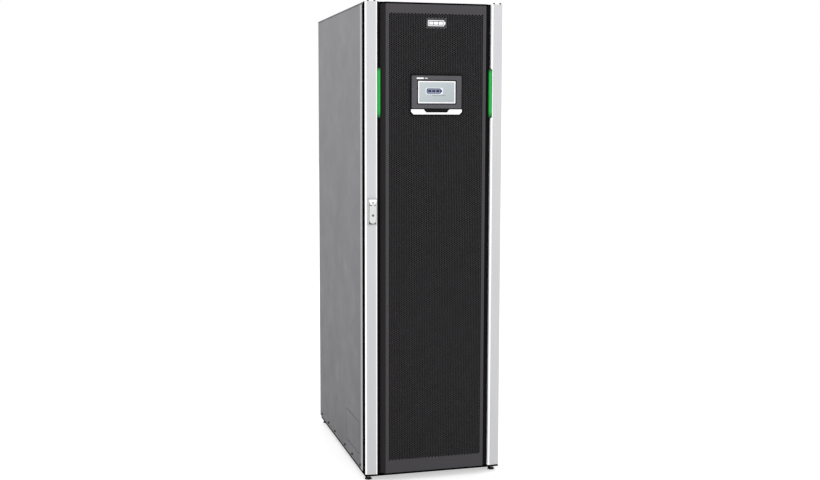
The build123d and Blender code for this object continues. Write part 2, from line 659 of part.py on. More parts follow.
def cell_blocks():
    """Four sealed cell blocks in each tray."""
    blocks = []
    for number in range(MODULE_COUNT):
        z = MODULE_BOTTOM + MODULE_PITCH * number + 1.2
        for x0, x1 in ((-206.0, -3.0), (3.0, 206.0)):
            for y0, y1 in ((-350.0, -105.0), (-95.0, 150.0)):
                blocks.append(block(x0, x1, y0, y1, z, z + 190))
    return blocks


def grip(x, z, half):
    """A bow handle standing off the front of a module."""
    reach = 32.0
    bar = 5.0
    grip_y = FACEPLATE_FRONT - reach
    bow = block(x - bar, x + bar, grip_y, FACEPLATE_FRONT, z - half, z + half)
    bow -= block(x - bar - 1, x + bar + 1, grip_y + 9, FACEPLATE_FRONT + 1, z - half + 9, z + half - 9)
    return fillet(bow.edges().filter_by(Axis.X).group_by(Axis.Y)[0], 8.0)


def module_handles():
    middles = [MODULE_BOTTOM + MODULE_PITCH * number + 109 for number in range(MODULE_COUNT)]
    handles = [grip(x, z, 55) for z in middles for x in (-195.0, 195.0)]
    units = [POWER_BOTTOM + POWER_PITCH * number + POWER_HEIGHT / 2 for number in range(2)]
    return handles + [grip(x, z, 45) for z in units for x in (-195.0, 195.0)]


def module_connectors():
    connectors = []
    for number in range(MODULE_COUNT):
        z = MODULE_BOTTOM + MODULE_PITCH * number
        body = block(98, 146, CONNECTOR_FRONT, FACEPLATE_FRONT, z + CONNECTOR_LOW, z + CONNECTOR_HIGH)
        connectors.append(fillet(body.faces().sort_by(Axis.Y)[0].edges(), 3.0))
    return connectors


def cable(points, radii):
    path = FilletPolyline(*points, radius=radii)
    start = Plane(points[0], z_dir=Vector(*points[1]) - Vector(*points[0]))
    return sweep(start * Circle(CABLE_R), path)


def interlink_cables():
    """A pair of leads between each two modules, and a pair from the top module into the breaker unit."""
    cables = []
    bow_y = CABLE_Y - 17.0
    for x in CABLE_XS:
        for number in range(MODULE_COUNT - 1):
            z0 = MODULE_BOTTOM + MODULE_PITCH * number + CONNECTOR_HIGH
            z1 = z0 + MODULE_PITCH - (CONNECTOR_HIGH - CONNECTOR_LOW)
            rise = (z1 - z0) / 4
            points = [(x, CABLE_Y, z0), (x, CABLE_Y, z0 + 22), (x, bow_y, z0 + 22 + rise)]
            points += [(x, bow_y, z1 - 22 - rise), (x, CABLE_Y, z1 - 22), (x, CABLE_Y, z1)]
            cables.append(cable(points, 30))
        top = MODULE_BOTTOM + MODULE_PITCH * (MODULE_COUNT - 1) + CONNECTOR_HIGH
        entry = CONTROL_BOTTOM + 30
        points = [(x, CABLE_Y, top), (x, CABLE_Y, top + 40), (x, bow_y, top + 80), (x, bow_y, entry)]
        points.append((x, FACEPLATE_FRONT, entry))
        cables.append(cable(points, [30, 30, 20]))
    return cables


def busbar(x):
    bar = block(x - 20, x + 20, BUSBAR_Y, BUSBAR_Y + 6, 170, 1440)
    for number in range(MODULE_COUNT):
        z = MODULE_BOTTOM + MODULE_PITCH * number + 105
        bar += block(x - 12, x + 12, 150, BUSBAR_Y, z - 10, z + 10)
    for number in range(2):
        z = POWER_BOTTOM + POWER_PITCH * number + 73
        bar += block(x - 12, x + 12, MODULE_BACK, BUSBAR_Y, z - 10, z + 10)
    return bar


def busbar_supports():
    levels = (300.0, 760.0, 1220.0)
    return [rod_y(x, z, BUSBAR_Y + 6, REAR_RAIL_Y, 14) for z in levels for x in (-BUSBAR_X, BUSBAR_X)]


def control_unit():
    """The breaker and control unit: a case behind a front plate that is cut out for the breaker."""
    unit = hollow_case(CONTROL_BOTTOM + 6, CONTROL_TOP - 6, -100)
    unit += faceplate(CONTROL_BOTTOM, CONTROL_TOP)
    unit -= block(-56, 56, FACEPLATE_FRONT - 1, RAIL_FACE_Y + 2, 1026, 1174)
    for number in range(3):
        x = -190.0 + 26 * number
        unit += rod_y(x, 1150, FACEPLATE_FRONT - 2, FACEPLATE_FRONT, 5)
    unit += block(-196, -106, FACEPLATE_FRONT - 3, FACEPLATE_FRONT, 1060, 1110)
    return unit


def breaker_body():
    body = block(-54, 54, -394, -310, 1028, 1172)
    body = fillet(body.faces().sort_by(Axis.Y)[0].edges(), 3.0)
    body -= block(-13, 13, -395, BREAKER_AXIS_Y + 14, BREAKER_Z - 24, BREAKER_Z + 24)
    return body - rod_x(BREAKER_AXIS_Y, BREAKER_Z, -18, 18, 3 + RUNNING_GAP)


def breaker_toggle():
    """The breaker's lever, standing up in its on position."""
    drum = rod_x(BREAKER_AXIS_Y, BREAKER_Z, -12.5, 12.5, 12)
    drum += rod_x(BREAKER_AXIS_Y, BREAKER_Z, -17, 17, 3)
    lever = Pos(0, BREAKER_AXIS_Y, BREAKER_Z) * Rot(-25, 0, 0) * Pos(0, -22, 0) * Box(13, 24, 7)
    return drum + lever


def power_modules():
    """Two plug-in converters with slotted fronts."""
    units = []
    for number in range(2):
        z = POWER_BOTTOM + POWER_PITCH * number
        unit = hollow_case(z, z + POWER_HEIGHT - 6, MODULE_BACK)
        unit += faceplate(z, z + POWER_HEIGHT)
        for row in range(7):
            slot_z = z + 24 + 14 * row
            for x in (-110.0, 0.0, 110.0):
                unit -= block(x - 46, x + 46, FACEPLATE_FRONT - 1, RAIL_FACE_Y + 2, slot_z, slot_z + 6)
        units.append(unit)
    return units


def fan_guard(x):
    """A flat wire guard: rings joined by four spokes."""
    wire = 1.2
    y0, y1 = FACEPLATE_FRONT - 2.4, FACEPLATE_FRONT
    guard = rod_y(x, FAN_Z, y0, y1, 10)
    for radius in (24, 38, 52, 68):
        guard += rod_y(x, FAN_Z, y0, y1, radius + wire) - rod_y(x, FAN_Z, y0 - 1, y1 + 1, radius - wire)
    for angle in (45, 135):
        spoke = Pos(x, (y0 + y1) / 2, FAN_Z) * Rot(0, angle, 0) * Box(2 * 68, y1 - y0, 2 * wire)
        guard += spoke
    return guard


def fan_tray():
    """A front plate with two shrouds, each with a motor seat on three struts."""
    tray = faceplate(FAN_BOTTOM, FAN_TOP)
    tray += block(-CASE_X, CASE_X, RAIL_FACE_Y, -250, FAN_BOTTOM, FAN_BOTTOM + 2)
    for x in (-FAN_X, FAN_X):
        tray += rod_y(x, FAN_Z, RAIL_FACE_Y, -312, FAN_R + 3)
        tray -= rod_y(x, FAN_Z, FACEPLATE_FRONT - 1, -300, FAN_R)
        for number in range(3):
            turn = Pos(x, -315, FAN_Z) * Rot(0, 120 * number + 30, 0)
            tray += turn * Pos(FAN_R / 2 + 1, 0, 0) * Box(FAN_R - 2, 6, 6)
        tray += rod_y(x, FAN_Z, -328, -312, 20)
        tray -= rod_y(x, FAN_Z, -330, -310, 3 + RUNNING_GAP)
    return [tray, fan_guard(-FAN_X), fan_guard(FAN_X)]


def fan_rotor(x):
    hub = rod_y(x, FAN_Z, -358, -330, 20)
    hub = fillet(hub.edges().group_by(Axis.Y)[0], 3.0)
    blades = 7
    for number in range(blades):
        turn = Pos(x, -344, FAN_Z) * Rot(0, 360 / blades * number, 0)
        hub += turn * Pos(39, 0, 0) * Rot(38, 0, 0) * Box(43, 2.2, 28)
    return hub + rod_y(x, FAN_Z, -330, -314, 3)


def build_structure():
    save("base_frame", base_frame())
    save("cabinet_frame", *cabinet_frame())
    save("frame_braces", *frame_braces())
    save("roof_panel", roof_panel())
    panel = side_panel()
    save("right_side_panel", panel)
    save("left_side_panel", mirrored(panel))
    save("cover_plates", *cover_plates())
    save("corner_trims", *corner_trims())
    save("rear_panel", rear_panel())
    save("panel_screws", *panel_screws())
    save("hinge_brackets", *hinge_brackets())
    save("mounting_rails", *mounting_rails())


def build_running_gear():
    for side, x in (("left", -1), ("right", 1)):
        for end, y in FOOT_YS.items():
            save(f"levelling_foot_{end}_{side}", levelling_foot(x * FOOT_X, y))
        save(f"castor_fork_{side}", fork(x * CASTOR_X, CASTOR_FRONT_Y, CASTOR_TRAIL, True))
        save(f"castor_wheel_front_{side}", castor_wheel(x * CASTOR_X, CASTOR_FRONT_Y + CASTOR_TRAIL))
        save(f"castor_wheel_rear_{side}", castor_wheel(x * CASTOR_X, CASTOR_REAR_Y))
    save("castor_mounts", *castor_mounts())


def build_door():
    save("door_frame", door_frame())
    right = right_pillar()
    pocket = block(
        LOCK_X - LOCK_HALF_X - 0.2, LOCK_X + LOCK_HALF_X + 0.2, ahead(PAN_FRONT - 1), ahead(12),
        LOCK_BOTTOM - 0.2, LOCK_TOP + 0.2
    )
    save("pillar_right", right)
    save("pillar_left", mirrored(right) - pocket)
    save("light_bars", *light_bars())
    save("door_bezel", door_bezel())
    save("door_sheet", door_sheet())
    save("dust_filter", dust_filter())
    save("badge", badge())
    save("display_housing", display_housing())
    save("display_screen", display_screen())
    save("display_trim", display_trim())
    save("hinge_pins", *hinge_pins())
    save("pillar_screws", *pillar_screws())
    save("lock_escutcheon", lock_escutcheon())
    save("lock_spindle", lock_spindle())
    save("lock_handle", lock_handle())
    save("key_cylinder", key_cylinder())
    save("latch_rod_upper", latch_rod(1, -15.5, DOOR_TOP - 5))
    save("latch_rod_lower", latch_rod(-1, -20, DOOR_BOTTOM + 5))


def build_equipment():
    for number in range(MODULE_COUNT):
        save(f"battery_module_{number + 1}", battery_module(number))
    save("cell_blocks", *cell_blocks())
    save("module_handles", *module_handles())
    save("module_connectors", *module_connectors())
    save("interlink_cables", *interlink_cables())
    save("busbar_positive", busbar(-BUSBAR_X))
    save("busbar_negative", busbar(BUSBAR_X))
    save("busbar_supports", *busbar_supports())
    save("control_unit", control_unit())
    save("breaker_body", breaker_body())
    save("breaker_toggle", breaker_toggle())
    save("power_modules", *power_modules())
    save("fan_tray", *fan_tray())
    save("fan_rotor_left", fan_rotor(-FAN_X))
    save("fan_rotor_right", fan_rotor(FAN_X))


os.makedirs("parts", exist_ok=True)
build_structure()
build_running_gear()
build_door()
build_equipment()
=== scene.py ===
"""Looks for the battery cabinet: studio, procedural finishes and the fine parts the CAD leaves plain."""
import json
import math

import bmesh
import bpy
import numpy as np
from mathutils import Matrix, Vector


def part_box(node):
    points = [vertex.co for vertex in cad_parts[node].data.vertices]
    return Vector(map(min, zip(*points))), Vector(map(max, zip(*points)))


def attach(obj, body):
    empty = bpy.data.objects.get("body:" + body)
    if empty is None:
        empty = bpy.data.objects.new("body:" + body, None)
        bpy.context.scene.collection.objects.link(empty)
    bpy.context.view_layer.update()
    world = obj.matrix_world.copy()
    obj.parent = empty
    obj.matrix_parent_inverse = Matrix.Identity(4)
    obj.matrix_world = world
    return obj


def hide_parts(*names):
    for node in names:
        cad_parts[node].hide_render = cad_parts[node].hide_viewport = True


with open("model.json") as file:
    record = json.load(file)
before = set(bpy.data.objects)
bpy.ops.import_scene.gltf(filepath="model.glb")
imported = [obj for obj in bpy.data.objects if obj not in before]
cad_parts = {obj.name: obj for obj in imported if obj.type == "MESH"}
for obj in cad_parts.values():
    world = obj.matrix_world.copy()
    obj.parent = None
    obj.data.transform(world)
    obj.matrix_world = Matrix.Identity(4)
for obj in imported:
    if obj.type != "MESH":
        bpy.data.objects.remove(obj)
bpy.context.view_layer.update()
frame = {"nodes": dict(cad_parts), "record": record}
MM = 0.001
WHITE = (1.0, 1.0, 1.0, 1.0)


def srgb(red, green, blue):
    """A colour given as 8-bit display values, as linear light."""
    values = [channel / 255 for channel in (red, green, blue)]
    return tuple(v / 12.92 if v <= 0.04045 else ((v + 0.055) / 1.055) ** 2.4 for v in values)


# ---------------------------------------------------------------- camera, floor and lights
scene = bpy.context.scene
scene.view_settings.view_transform = "Standard"

camera_data = bpy.data.cameras.new("camera")
camera_data.sensor_width = 36.0
camera_data.lens = 48.15
camera_data.shift_x = 0.0306
camera_data.shift_y = -0.0183
camera_data.clip_end = 60.0
camera = bpy.data.objects.new("camera", camera_data)
camera.location = (-1.255, -4.538, 1.420)
CAMERA_DOWN, CAMERA_TURN = 5.447, 14.45     # degrees: below level, and right of straight ahead
camera.rotation_euler = (math.radians(90 - CAMERA_DOWN), 0, -math.radians(CAMERA_TURN))
scene.collection.objects.link(camera)
scene.camera = camera

world = bpy.data.worlds.new("studio")
world.use_nodes = True
sky = world.node_tree.nodes["Background"]
sky.inputs["Color"].default_value = WHITE
sky.inputs["Strength"].default_value = 1.0
scene.world = world


def soft_light(name, place, aim, width, height, power):
    """A rectangular lamp in metres and watts, turned towards its aim."""
    data = bpy.data.lights.new(name, "AREA")
    data.shape = "RECTANGLE"
    data.size = width
    data.size_y = height
    data.energy = power
    lamp = bpy.data.objects.new(name, data)
    lamp.location = place
    lamp.rotation_euler = (Vector(aim) - Vector(place)).to_track_quat("-Z", "Y").to_euler()
    scene.collection.objects.link(lamp)


soft_light("key", (-1.8, -4.2, 3.6), (0, -0.3, 1.2), 2.4, 2.4, 24)
soft_light("fill", (3.2, -3.4, 2.6), (0, -0.3, 1.0), 2.0, 2.6, 8)
soft_light("top", (0.0, 0.4, 4.2), (0, 0, 1.0), 2.6, 2.6, 14)


# ---------------------------------------------------------------- node helpers
MIX_FACTOR, MIX_FIRST, MIX_SECOND, MIX_RESULT = 0, 6, 7, 2      # the Mix node's colour sockets

class Look:
    """A material whose colour, roughness and bump come from nodes in the object's own space."""

    def __init__(self, name, **constants):
        self.material = bpy.data.materials.new(name)
        self.material.use_nodes = True
        self.tree = self.material.node_tree
        self.shader = self.tree.nodes["Principled BSDF"]
        for socket, value in constants.items():
            self.shader.inputs[socket.replace("_", " ")].default_value = value
        self.point = self.node("ShaderNodeTexCoord").outputs["Object"]

    def node(self, kind, inputs=None, **settings):
        made = self.tree.nodes.new(kind)
        for key, value in settings.items():
            setattr(made, key, value)
        for key, value in (inputs or {}).items():
            if isinstance(value, bpy.types.NodeSocket):
                self.tree.links.new(value, made.inputs[key])
            else:
                made.inputs[key].default_value = value
        return made

    def scaled(self, scale):
        """The object's coordinates, stretched along its axes."""
        mapping = self.node("ShaderNodeMapping", {"Vector": self.point, "Scale": scale})
        return mapping.outputs["Vector"]

    def noise(self, scale, detail=2.0, rough=0.55, stretch=None):
        vector = self.scaled(stretch) if stretch else self.point
        made = self.node(
            "ShaderNodeTexNoise", {"Vector": vector, "Scale": scale, "Detail": detail, "Roughness": rough}
        )
        return made.outputs["Fac"]

    def cells(self, scale, output="Distance"):
        return self.node("ShaderNodeTexVoronoi", {"Vector": self.point, "Scale": scale}).outputs[output]

    def fit(self, value, low, high, new_low=0.0, new_high=1.0):
        ranged = {"Value": value, "From Min": low, "From Max": high, "To Min": new_low, "To Max": new_high}
        return self.node("ShaderNodeMapRange", ranged).outputs["Result"]

    def maths(self, operation, first, second=0.0):
        return self.node("ShaderNodeMath", {0: first, 1: second}, operation=operation).outputs[0]

    def mix(self, factor, first, second):
        made = self.node("ShaderNodeMix", data_type="RGBA")
        for index, value in ((MIX_FACTOR, factor), (MIX_FIRST, first), (MIX_SECOND, second)):
            if isinstance(value, bpy.types.NodeSocket):
                self.tree.links.new(value, made.inputs[index])
            else:
                made.inputs[index].default_value = value if index == MIX_FACTOR else (*value, 1.0)
        return made.outputs[MIX_RESULT]

    def dimmed(self, colour, factor):
        made = self.node("ShaderNodeVectorMath", {0: colour, "Scale": factor}, operation="SCALE")
        return made.outputs["Vector"]

    def across(self):
        """Distance from the cabinet's middle plane, in millimetres."""
        return self.maths("MULTIPLY", self.maths("ABSOLUTE", self.axis("X")), 1000.0)

    def axis(self, name):
        return self.node("ShaderNodeSeparateXYZ", {"Vector": self.point}).outputs[name]

    def softened(self, radius):
        """The normal, rounded over the shape's sharp edges."""
        return self.node("ShaderNodeBevel", {"Radius": radius}, samples=4).outputs["Normal"]

    def edges(self, radius):
        """1 along the sharp edges of the shape, and 0 on its faces."""
        bent = self.softened(radius)
        flat = self.node("ShaderNodeNewGeometry").outputs["Normal"]
        alike = self.node("ShaderNodeVectorMath", {0: bent, 1: flat}, operation="DOT_PRODUCT")
        return self.fit(alike.outputs["Value"], 0.995, 0.80)

    def bump(self, height, distance, strength=1.0, soft_edge=None):
        inputs = {"Height": height, "Distance": distance, "Strength": strength}
        if soft_edge:
            inputs["Normal"] = self.softened(soft_edge)
        return self.node("ShaderNodeBump", inputs).outputs["Normal"]

    def finish(self, colour=None, rough=None, normal=None):
        for socket, value in (("Base Color", colour), ("Roughness", rough), ("Normal", normal)):
            if value is not None:
                self.tree.links.new(value, self.shader.inputs[socket])
        return self.material


ROOF_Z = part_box("roof_panel")[1].z
PANEL_FACE_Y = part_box("door_sheet")[0].y
SIDE_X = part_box("right_side_panel")[1].x * 1000         # millimetres, as across() gives
HATCH_TOP = 0.24                                        # the low service covers
LIP_TOP = 0.03                                          # the lip under the door and the side panels
BEVEL_X = 0.2                                           # where the bezel's hinge side begins
BEZEL_EDGE_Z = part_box("door_bezel")[1].z - 6.3 * MM     # where its top edge begins
SHADE_SPECULAR = 0.0
NEAR_BLACK = (0.002, 0.002, 0.002)
FINE_PEEL = 0.00006


def lighter(colour, factor):
    return tuple(min(1.0, channel * factor) for channel in colour)


def powder_coat(name, colour, rough=0.42, worn=None, spread=0.05, grain=700.0, specular=0.25,
                painted_light_by_height=None, painted_shade_mask=None, shade=NEAR_BLACK, shade_tone=None):
    """Powder-coated steel: fine grain, orange peel, faint cloudiness and rubbed edges.

    The painted light by height is its tone at the floor and at the roof: painted light, lighter
    towards the roof. The painted shade mask marks the faces that get painted shade, a dark colour
    with no specular sheen, and shade_tone says how bright that painted shade is from place to place."""
    look = Look(name, Specular_IOR_Level=specular)
    cloud = look.noise(3.2, 4.0)
    speckle = look.noise(grain, 1.0)
    base = look.mix(look.fit(cloud, 0.3, 0.7), lighter(colour, 1 - spread), lighter(colour, 1 + spread))
    base = look.mix(look.fit(speckle, 0.62, 0.8, 0.0, 0.3), base, lighter(colour, 1.4))
    if painted_light_by_height:
        # painted light: the colour is lighter towards the roof and darker towards the floor
        base = look.dimmed(base, look.fit(look.axis("Z"), 0.03, ROOF_Z, *painted_light_by_height))
    # painted shade: the masked faces get a dark colour and lose their specular sheen
    if painted_shade_mask:
        mask = painted_shade_mask(look)
        painted_shade = look.mix(0.0, shade, shade)
        if shade_tone:
            painted_shade = look.dimmed(painted_shade, shade_tone(look))
        base = look.mix(mask, base, painted_shade)
        painted_shade_specular = look.fit(mask, 0.0, 1.0, specular, SHADE_SPECULAR)
        look.tree.links.new(painted_shade_specular, look.shader.inputs["Specular IOR Level"])
    scuffs = look.fit(look.noise(26.0, 5.0, 0.7), 0.38, 0.62)
    rubbed = look.maths("MULTIPLY", look.edges(0.0014), look.maths("MULTIPLY", scuffs, 0.5))
    base = look.mix(rubbed, base, worn or lighter(colour, 1.8))
    roughness = look.fit(look.noise(9.0, 4.0), 0.25, 0.75, rough - 0.07, rough + 0.09)
    height = look.maths("ADD", speckle, look.noise(grain / 4, 2.0))
    return look.finish(base, roughness, look.bump(height, FINE_PEEL, 0.8, soft_edge=0.0007))


def painted_bezel_shade(look):
    """Painted shade on the bezel's top edge, its bevels, and the walls of the panel's holes."""
    behind = look.fit(look.axis("Y"), PANEL_FACE_Y + 0.2 * MM, PANEL_FACE_Y + 0.5 * MM)
    return look.maths("MAXIMUM", behind, look.fit(look.axis("Z"), BEZEL_EDGE_Z - 0.5 * MM, BEZEL_EDGE_Z))


def bevel_shade_tone(look):
    """Painted shade: the bevel on the hinge side is painted darker than the other, and the top edge is
    painted nearly black.
    """
    hinge_side = look.fit(look.axis("X"), BEVEL_X, BEVEL_X + 3 * MM, 1.0, 0.35)
    top = look.fit(look.axis("Z"), BEZEL_EDGE_Z - 0.5 * MM, BEZEL_EDGE_Z, 1.0, 0.08)
    return look.maths("MULTIPLY", hinge_side, top)


def painted_frame_shade(look):
    """Painted shade on the black frames: their outer sides, and the lip under the door and the side
    panels.
    """
    side = look.fit(look.across(), SIDE_X - 4.0, SIDE_X - 3.5)
    low = look.fit(look.axis("Z"), LIP_TOP + 0.002, LIP_TOP + 0.001)
    return look.maths("MAXIMUM", side, low)


def hatch_gap_shade(look):
    """Painted shade along the sunk edge round the low service covers."""
    painted_shade = look.fit(look.across(), SIDE_X - 0.5, SIDE_X - 0.9)
    low = look.fit(look.axis("Z"), HATCH_TOP, HATCH_TOP - 0.001)
    ahead = look.fit(look.axis("Y"), 0.001, 0.0)
    return look.maths("MULTIPLY", painted_shade, look.maths("MULTIPLY", low, ahead))


def lock_dish_shade(look):
    """Painted shade on the sunk floor of the lock's base, darkest round the handle's lower end."""
    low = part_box("lock_escutcheon")[0]
    painted_shade = look.fit(look.axis("Y"), low.y + 0.5 * MM, low.y + 1.0 * MM)
    end = look.fit(look.axis("Z"), low.z + 18 * MM, low.z + 12 * MM, 0.25, 1.0)
    return look.maths("MULTIPLY", painted_shade, end)


def moulded(name, colour, rough=0.5, spread=0.08, **constants):
    """Moulded plastic with a fine spark-eroded texture."""
    look = Look(name, **constants)
    cloud = look.noise(14.0, 3.0)
    texture = look.cells(1100.0)
    base = look.mix(look.fit(cloud, 0.3, 0.7), lighter(colour, 1 - spread), lighter(colour, 1 + spread))
    base = look.mix(look.maths("MULTIPLY", look.edges(0.0008), 0.4), base, lighter(colour, 1.7))
    roughness = look.fit(look.noise(60.0, 3.0), 0.3, 0.7, rough - 0.06, rough + 0.08)
    return look.finish(base, roughness, look.bump(texture, 0.00005, 0.6, soft_edge=0.0005))


def bare_metal(name, colour, rough=0.32):
    """Zinc-plated or die-cast metal: spangle, drawn streaks and dull spots."""
    look = Look(name, Metallic=1.0)
    patches = look.cells(160.0, "Color")
    drawn = look.noise(420.0, 3.0, stretch=(1.0, 1.0, 26.0))
    base = look.mix(look.fit(drawn, 0.3, 0.7), lighter(colour, 0.86), lighter(colour, 1.10))
    tone = look.node("ShaderNodeSeparateColor", {"Color": patches}).outputs["Red"]
    base = look.mix(look.maths("MULTIPLY", tone, 0.22), base, lighter(colour, 0.68))
    base = look.mix(look.fit(look.noise(7.0, 5.0), 0.55, 0.75, 0.0, 0.35), base, lighter(colour, 0.55))
    roughness = look.fit(look.noise(35.0, 4.0), 0.25, 0.75, rough - 0.09, rough + 0.13)
    return look.finish(base, roughness, look.bump(drawn, 0.00003, 0.6, soft_edge=0.0005))


def rubber(name, colour):
    """Dull rubber with a little pale dust."""
    look = Look(name, Specular_IOR_Level=0.15)
    dust = look.fit(look.noise(40.0, 5.0), 0.5, 0.8, 0.0, 0.3)
    base = look.mix(dust, colour, lighter(colour, 2.5))
    roughness = look.fit(look.noise(120.0, 2.0), 0.3, 0.7, 0.62, 0.85)
    return look.finish(base, roughness, look.bump(look.noise(1500.0, 2.0), 0.00008, 0.7))


def copper_look():
    """Drawn copper bar with patches of tarnish."""
    look = Look("copper_bare", Metallic=1.0)
    tarnish = look.fit(look.noise(18.0, 6.0, 0.65), 0.42, 0.68)
    drawn = look.noise(300.0, 2.0, stretch=(1.0, 1.0, 0.05))
    base = look.mix(look.fit(drawn, 0.3, 0.7), (0.80, 0.36, 0.19), (0.92, 0.48, 0.28))
    base = look.mix(look.maths("MULTIPLY", tarnish, 0.6), base, (0.28, 0.12, 0.07))
    roughness = look.fit(tarnish, 0.0, 1.0, 0.24, 0.5)
    return look.finish(base, roughness, look.bump(drawn, 0.00003, 0.5, soft_edge=0.0005))


# Millimetres from the middle plane: where each painted highlight, and the strip of painted shade, begins,
# and where it is full.
CHAMFER_HIGHLIGHT_IN = (237.4, 236.2)
CHAMFER_HIGHLIGHT_OUT = (273.0, 274.4)
INNER_SHADE_STRIP = (233.1, 232.7)
HINGE_SIDE_HIGHLIGHT_NARROWER = 2.0


def pillar_look():
    """Satin silver extrusion: a matt middle face, painted lighter towards the roof, between two
    chamfers with a painted highlight, and a painted highlight along its sharp edges.

    The lock's pillar has a thin black strip of painted shade along its inner edge."""
    look = Look("pillar_silver", Specular_IOR_Level=0.3, Coat_Weight=0.1, Coat_Roughness=0.35)
    across = look.across()
    lock_side = look.fit(look.axis("X"), MM, -MM)
    narrower = look.fit(lock_side, 0.0, 1.0, HINGE_SIDE_HIGHLIGHT_NARROWER, 0.0)
    inner = look.fit(look.maths("ADD", across, narrower), *CHAMFER_HIGHLIGHT_IN)
    shade_strip = look.maths("MULTIPLY", lock_side, look.fit(across, *INNER_SHADE_STRIP))
    outer = look.fit(across, *CHAMFER_HIGHLIGHT_OUT)
    chamfer = look.maths("MAXIMUM", inner, outer)
    drawn = look.noise(500.0, 2.0, stretch=(1.0, 1.0, 0.01))
    cloud = look.noise(2.2, 4.0)
    face = look.mix(look.fit(cloud, 0.3, 0.7), srgb(188, 188, 190), srgb(194, 194, 196))
    face = look.mix(look.fit(drawn, 0.35, 0.65, 0.0, 0.5), face, srgb(184, 184, 187))
    # painted light: the face is lighter towards the roof
    face = look.dimmed(face, look.fit(look.axis("Z"), 0.1, ROOF_Z, 0.94, 1.09))
    # painted highlight: near-white colour on both chamfers
    base = look.mix(chamfer, face, srgb(254, 254, 254))
    # painted highlight along the sharp edges
    base = look.mix(look.maths("MULTIPLY", look.edges(0.0008), 0.5), base, srgb(250, 250, 251))
    flakes = look.cells(1500.0, "Color")
    flake = look.node("ShaderNodeSeparateColor", {"Color": flakes}).outputs["Red"]
    base = look.mix(look.fit(flake, 0.7, 1.0, 0.0, 0.15), base, srgb(232, 232, 234))
    # painted shade: the black strip along the lock pillar's inner edge, with no sheen
    base = look.mix(shade_strip, base, NEAR_BLACK)
    painted_shade_specular = look.fit(shade_strip, 0.0, 1.0, 0.3, SHADE_SPECULAR)
    look.tree.links.new(painted_shade_specular, look.shader.inputs["Specular IOR Level"])
    roughness = look.fit(look.noise(24.0, 4.0), 0.25, 0.75, 0.36, 0.48)
    height = look.maths("ADD", drawn, look.noise(900.0, 1.0))
    return look.finish(base, roughness, look.bump(height, 0.00002, 0.6, soft_edge=0.0006))


LIGHT_LINE_X = 224.5     # millimetres from the middle plane


def light_look():
    """Green light guide: brightest along a line, dim at its cut ends."""
    look = Look("light_green", Specular_IOR_Level=0.3, Emission_Strength=0.55)
    low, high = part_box("light_bars")
    off_line = look.maths("ABSOLUTE", look.maths("SUBTRACT", look.across(), LIGHT_LINE_X))
    height = look.axis("Z")
    from_low = look.fit(height, low.z + 4 * MM, low.z + 26 * MM)
    from_top = look.fit(height, high.z - 2 * MM, high.z - 16 * MM)
    lit = look.maths("MULTIPLY", from_low, from_top)
    glow = look.maths("MULTIPLY", look.fit(off_line, 3.3, 0.0), lit)
    grain = look.fit(look.noise(60.0, 3.0), 0.3, 0.7, 0.92, 1.06)
    colour = look.mix(lit, srgb(4, 60, 20), srgb(6, 124, 40))
    colour = look.mix(look.maths("MULTIPLY", glow, grain), colour, srgb(38, 150, 72))
    look.tree.links.new(colour, look.shader.inputs["Emission Color"])
    roughness = look.fit(look.noise(200.0, 2.0), 0.3, 0.7, 0.2, 0.3)
    return look.finish(colour, roughness, look.bump(look.noise(90.0, 2.0), 0.00008, 0.4, soft_edge=0.0005))


def screen_look():
    """The lit display: pale blue-grey, paler towards its top left, under smooth glass."""
    look = Look("screen_lit", Specular_IOR_Level=0.4, Emission_Strength=0.32)
    low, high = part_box("display_screen")
    up = look.fit(look.axis("Z"), low.z, high.z)
    along = look.fit(look.axis("X"), low.x, high.x, 1.0, 0.0)
    shade = look.maths("MULTIPLY", look.maths("ADD", up, along), 0.5)
    cells = look.fit(look.noise(900.0, 1.0), 0.3, 0.7, -0.04, 0.04)
    colour = look.mix(look.maths("ADD", shade, cells), srgb(146, 155, 158), srgb(166, 173, 176))
    look.tree.links.new(colour, look.shader.inputs["Emission Color"])
    roughness = look.fit(look.noise(30.0, 4.0), 0.3, 0.7, 0.10, 0.2)
    return look.finish(colour, roughness, look.bump(look.noise(5.0, 1.0), 0.00002, 0.3))


def foot_look():
    """Levelling foot: a dull black rubber pad under a bright plated stem."""
    look = Look("foot_zinc_and_rubber")
    stem = look.fit(look.axis("Z"), 8.4 * MM, 9.0 * MM)
    drawn = look.noise(420.0, 3.0)
    plated = look.mix(look.fit(drawn, 0.3, 0.7), (0.55, 0.55, 0.54), (0.68, 0.68, 0.67))
    dust = look.fit(look.noise(60.0, 5.0), 0.45, 0.8, 0.0, 0.4)
    pad = look.mix(dust, (0.006, 0.006, 0.006), (0.02, 0.02, 0.019))
    look.tree.links.new(look.maths("MULTIPLY", stem, 0.9), look.shader.inputs["Metallic"])
    uneven = look.maths("ADD", stem, look.fit(drawn, 0.0, 1.0, -0.1, 0.1))
    roughness = look.fit(uneven, 0.0, 1.0, 0.8, 0.3)
    height = look.bump(drawn, 0.00005, 0.6, soft_edge=0.0006)
    return look.finish(look.mix(stem, pad, plated), roughness, height)


def foam_look():
    """Open-cell foam: dark pores between paler struts."""
    look = Look("filter_foam", Specular_IOR_Level=0.0)
    pores = look.cells(520.0)
    base = look.mix(look.fit(pores, 0.25, 0.75), (0.006, 0.006, 0.006), (0.018, 0.018, 0.018))
    roughness = look.fit(look.noise(60.0, 2.0), 0.3, 0.7, 0.88, 1.0)
    return look.finish(base, roughness, look.bump(pores, 0.0008, 1.0))


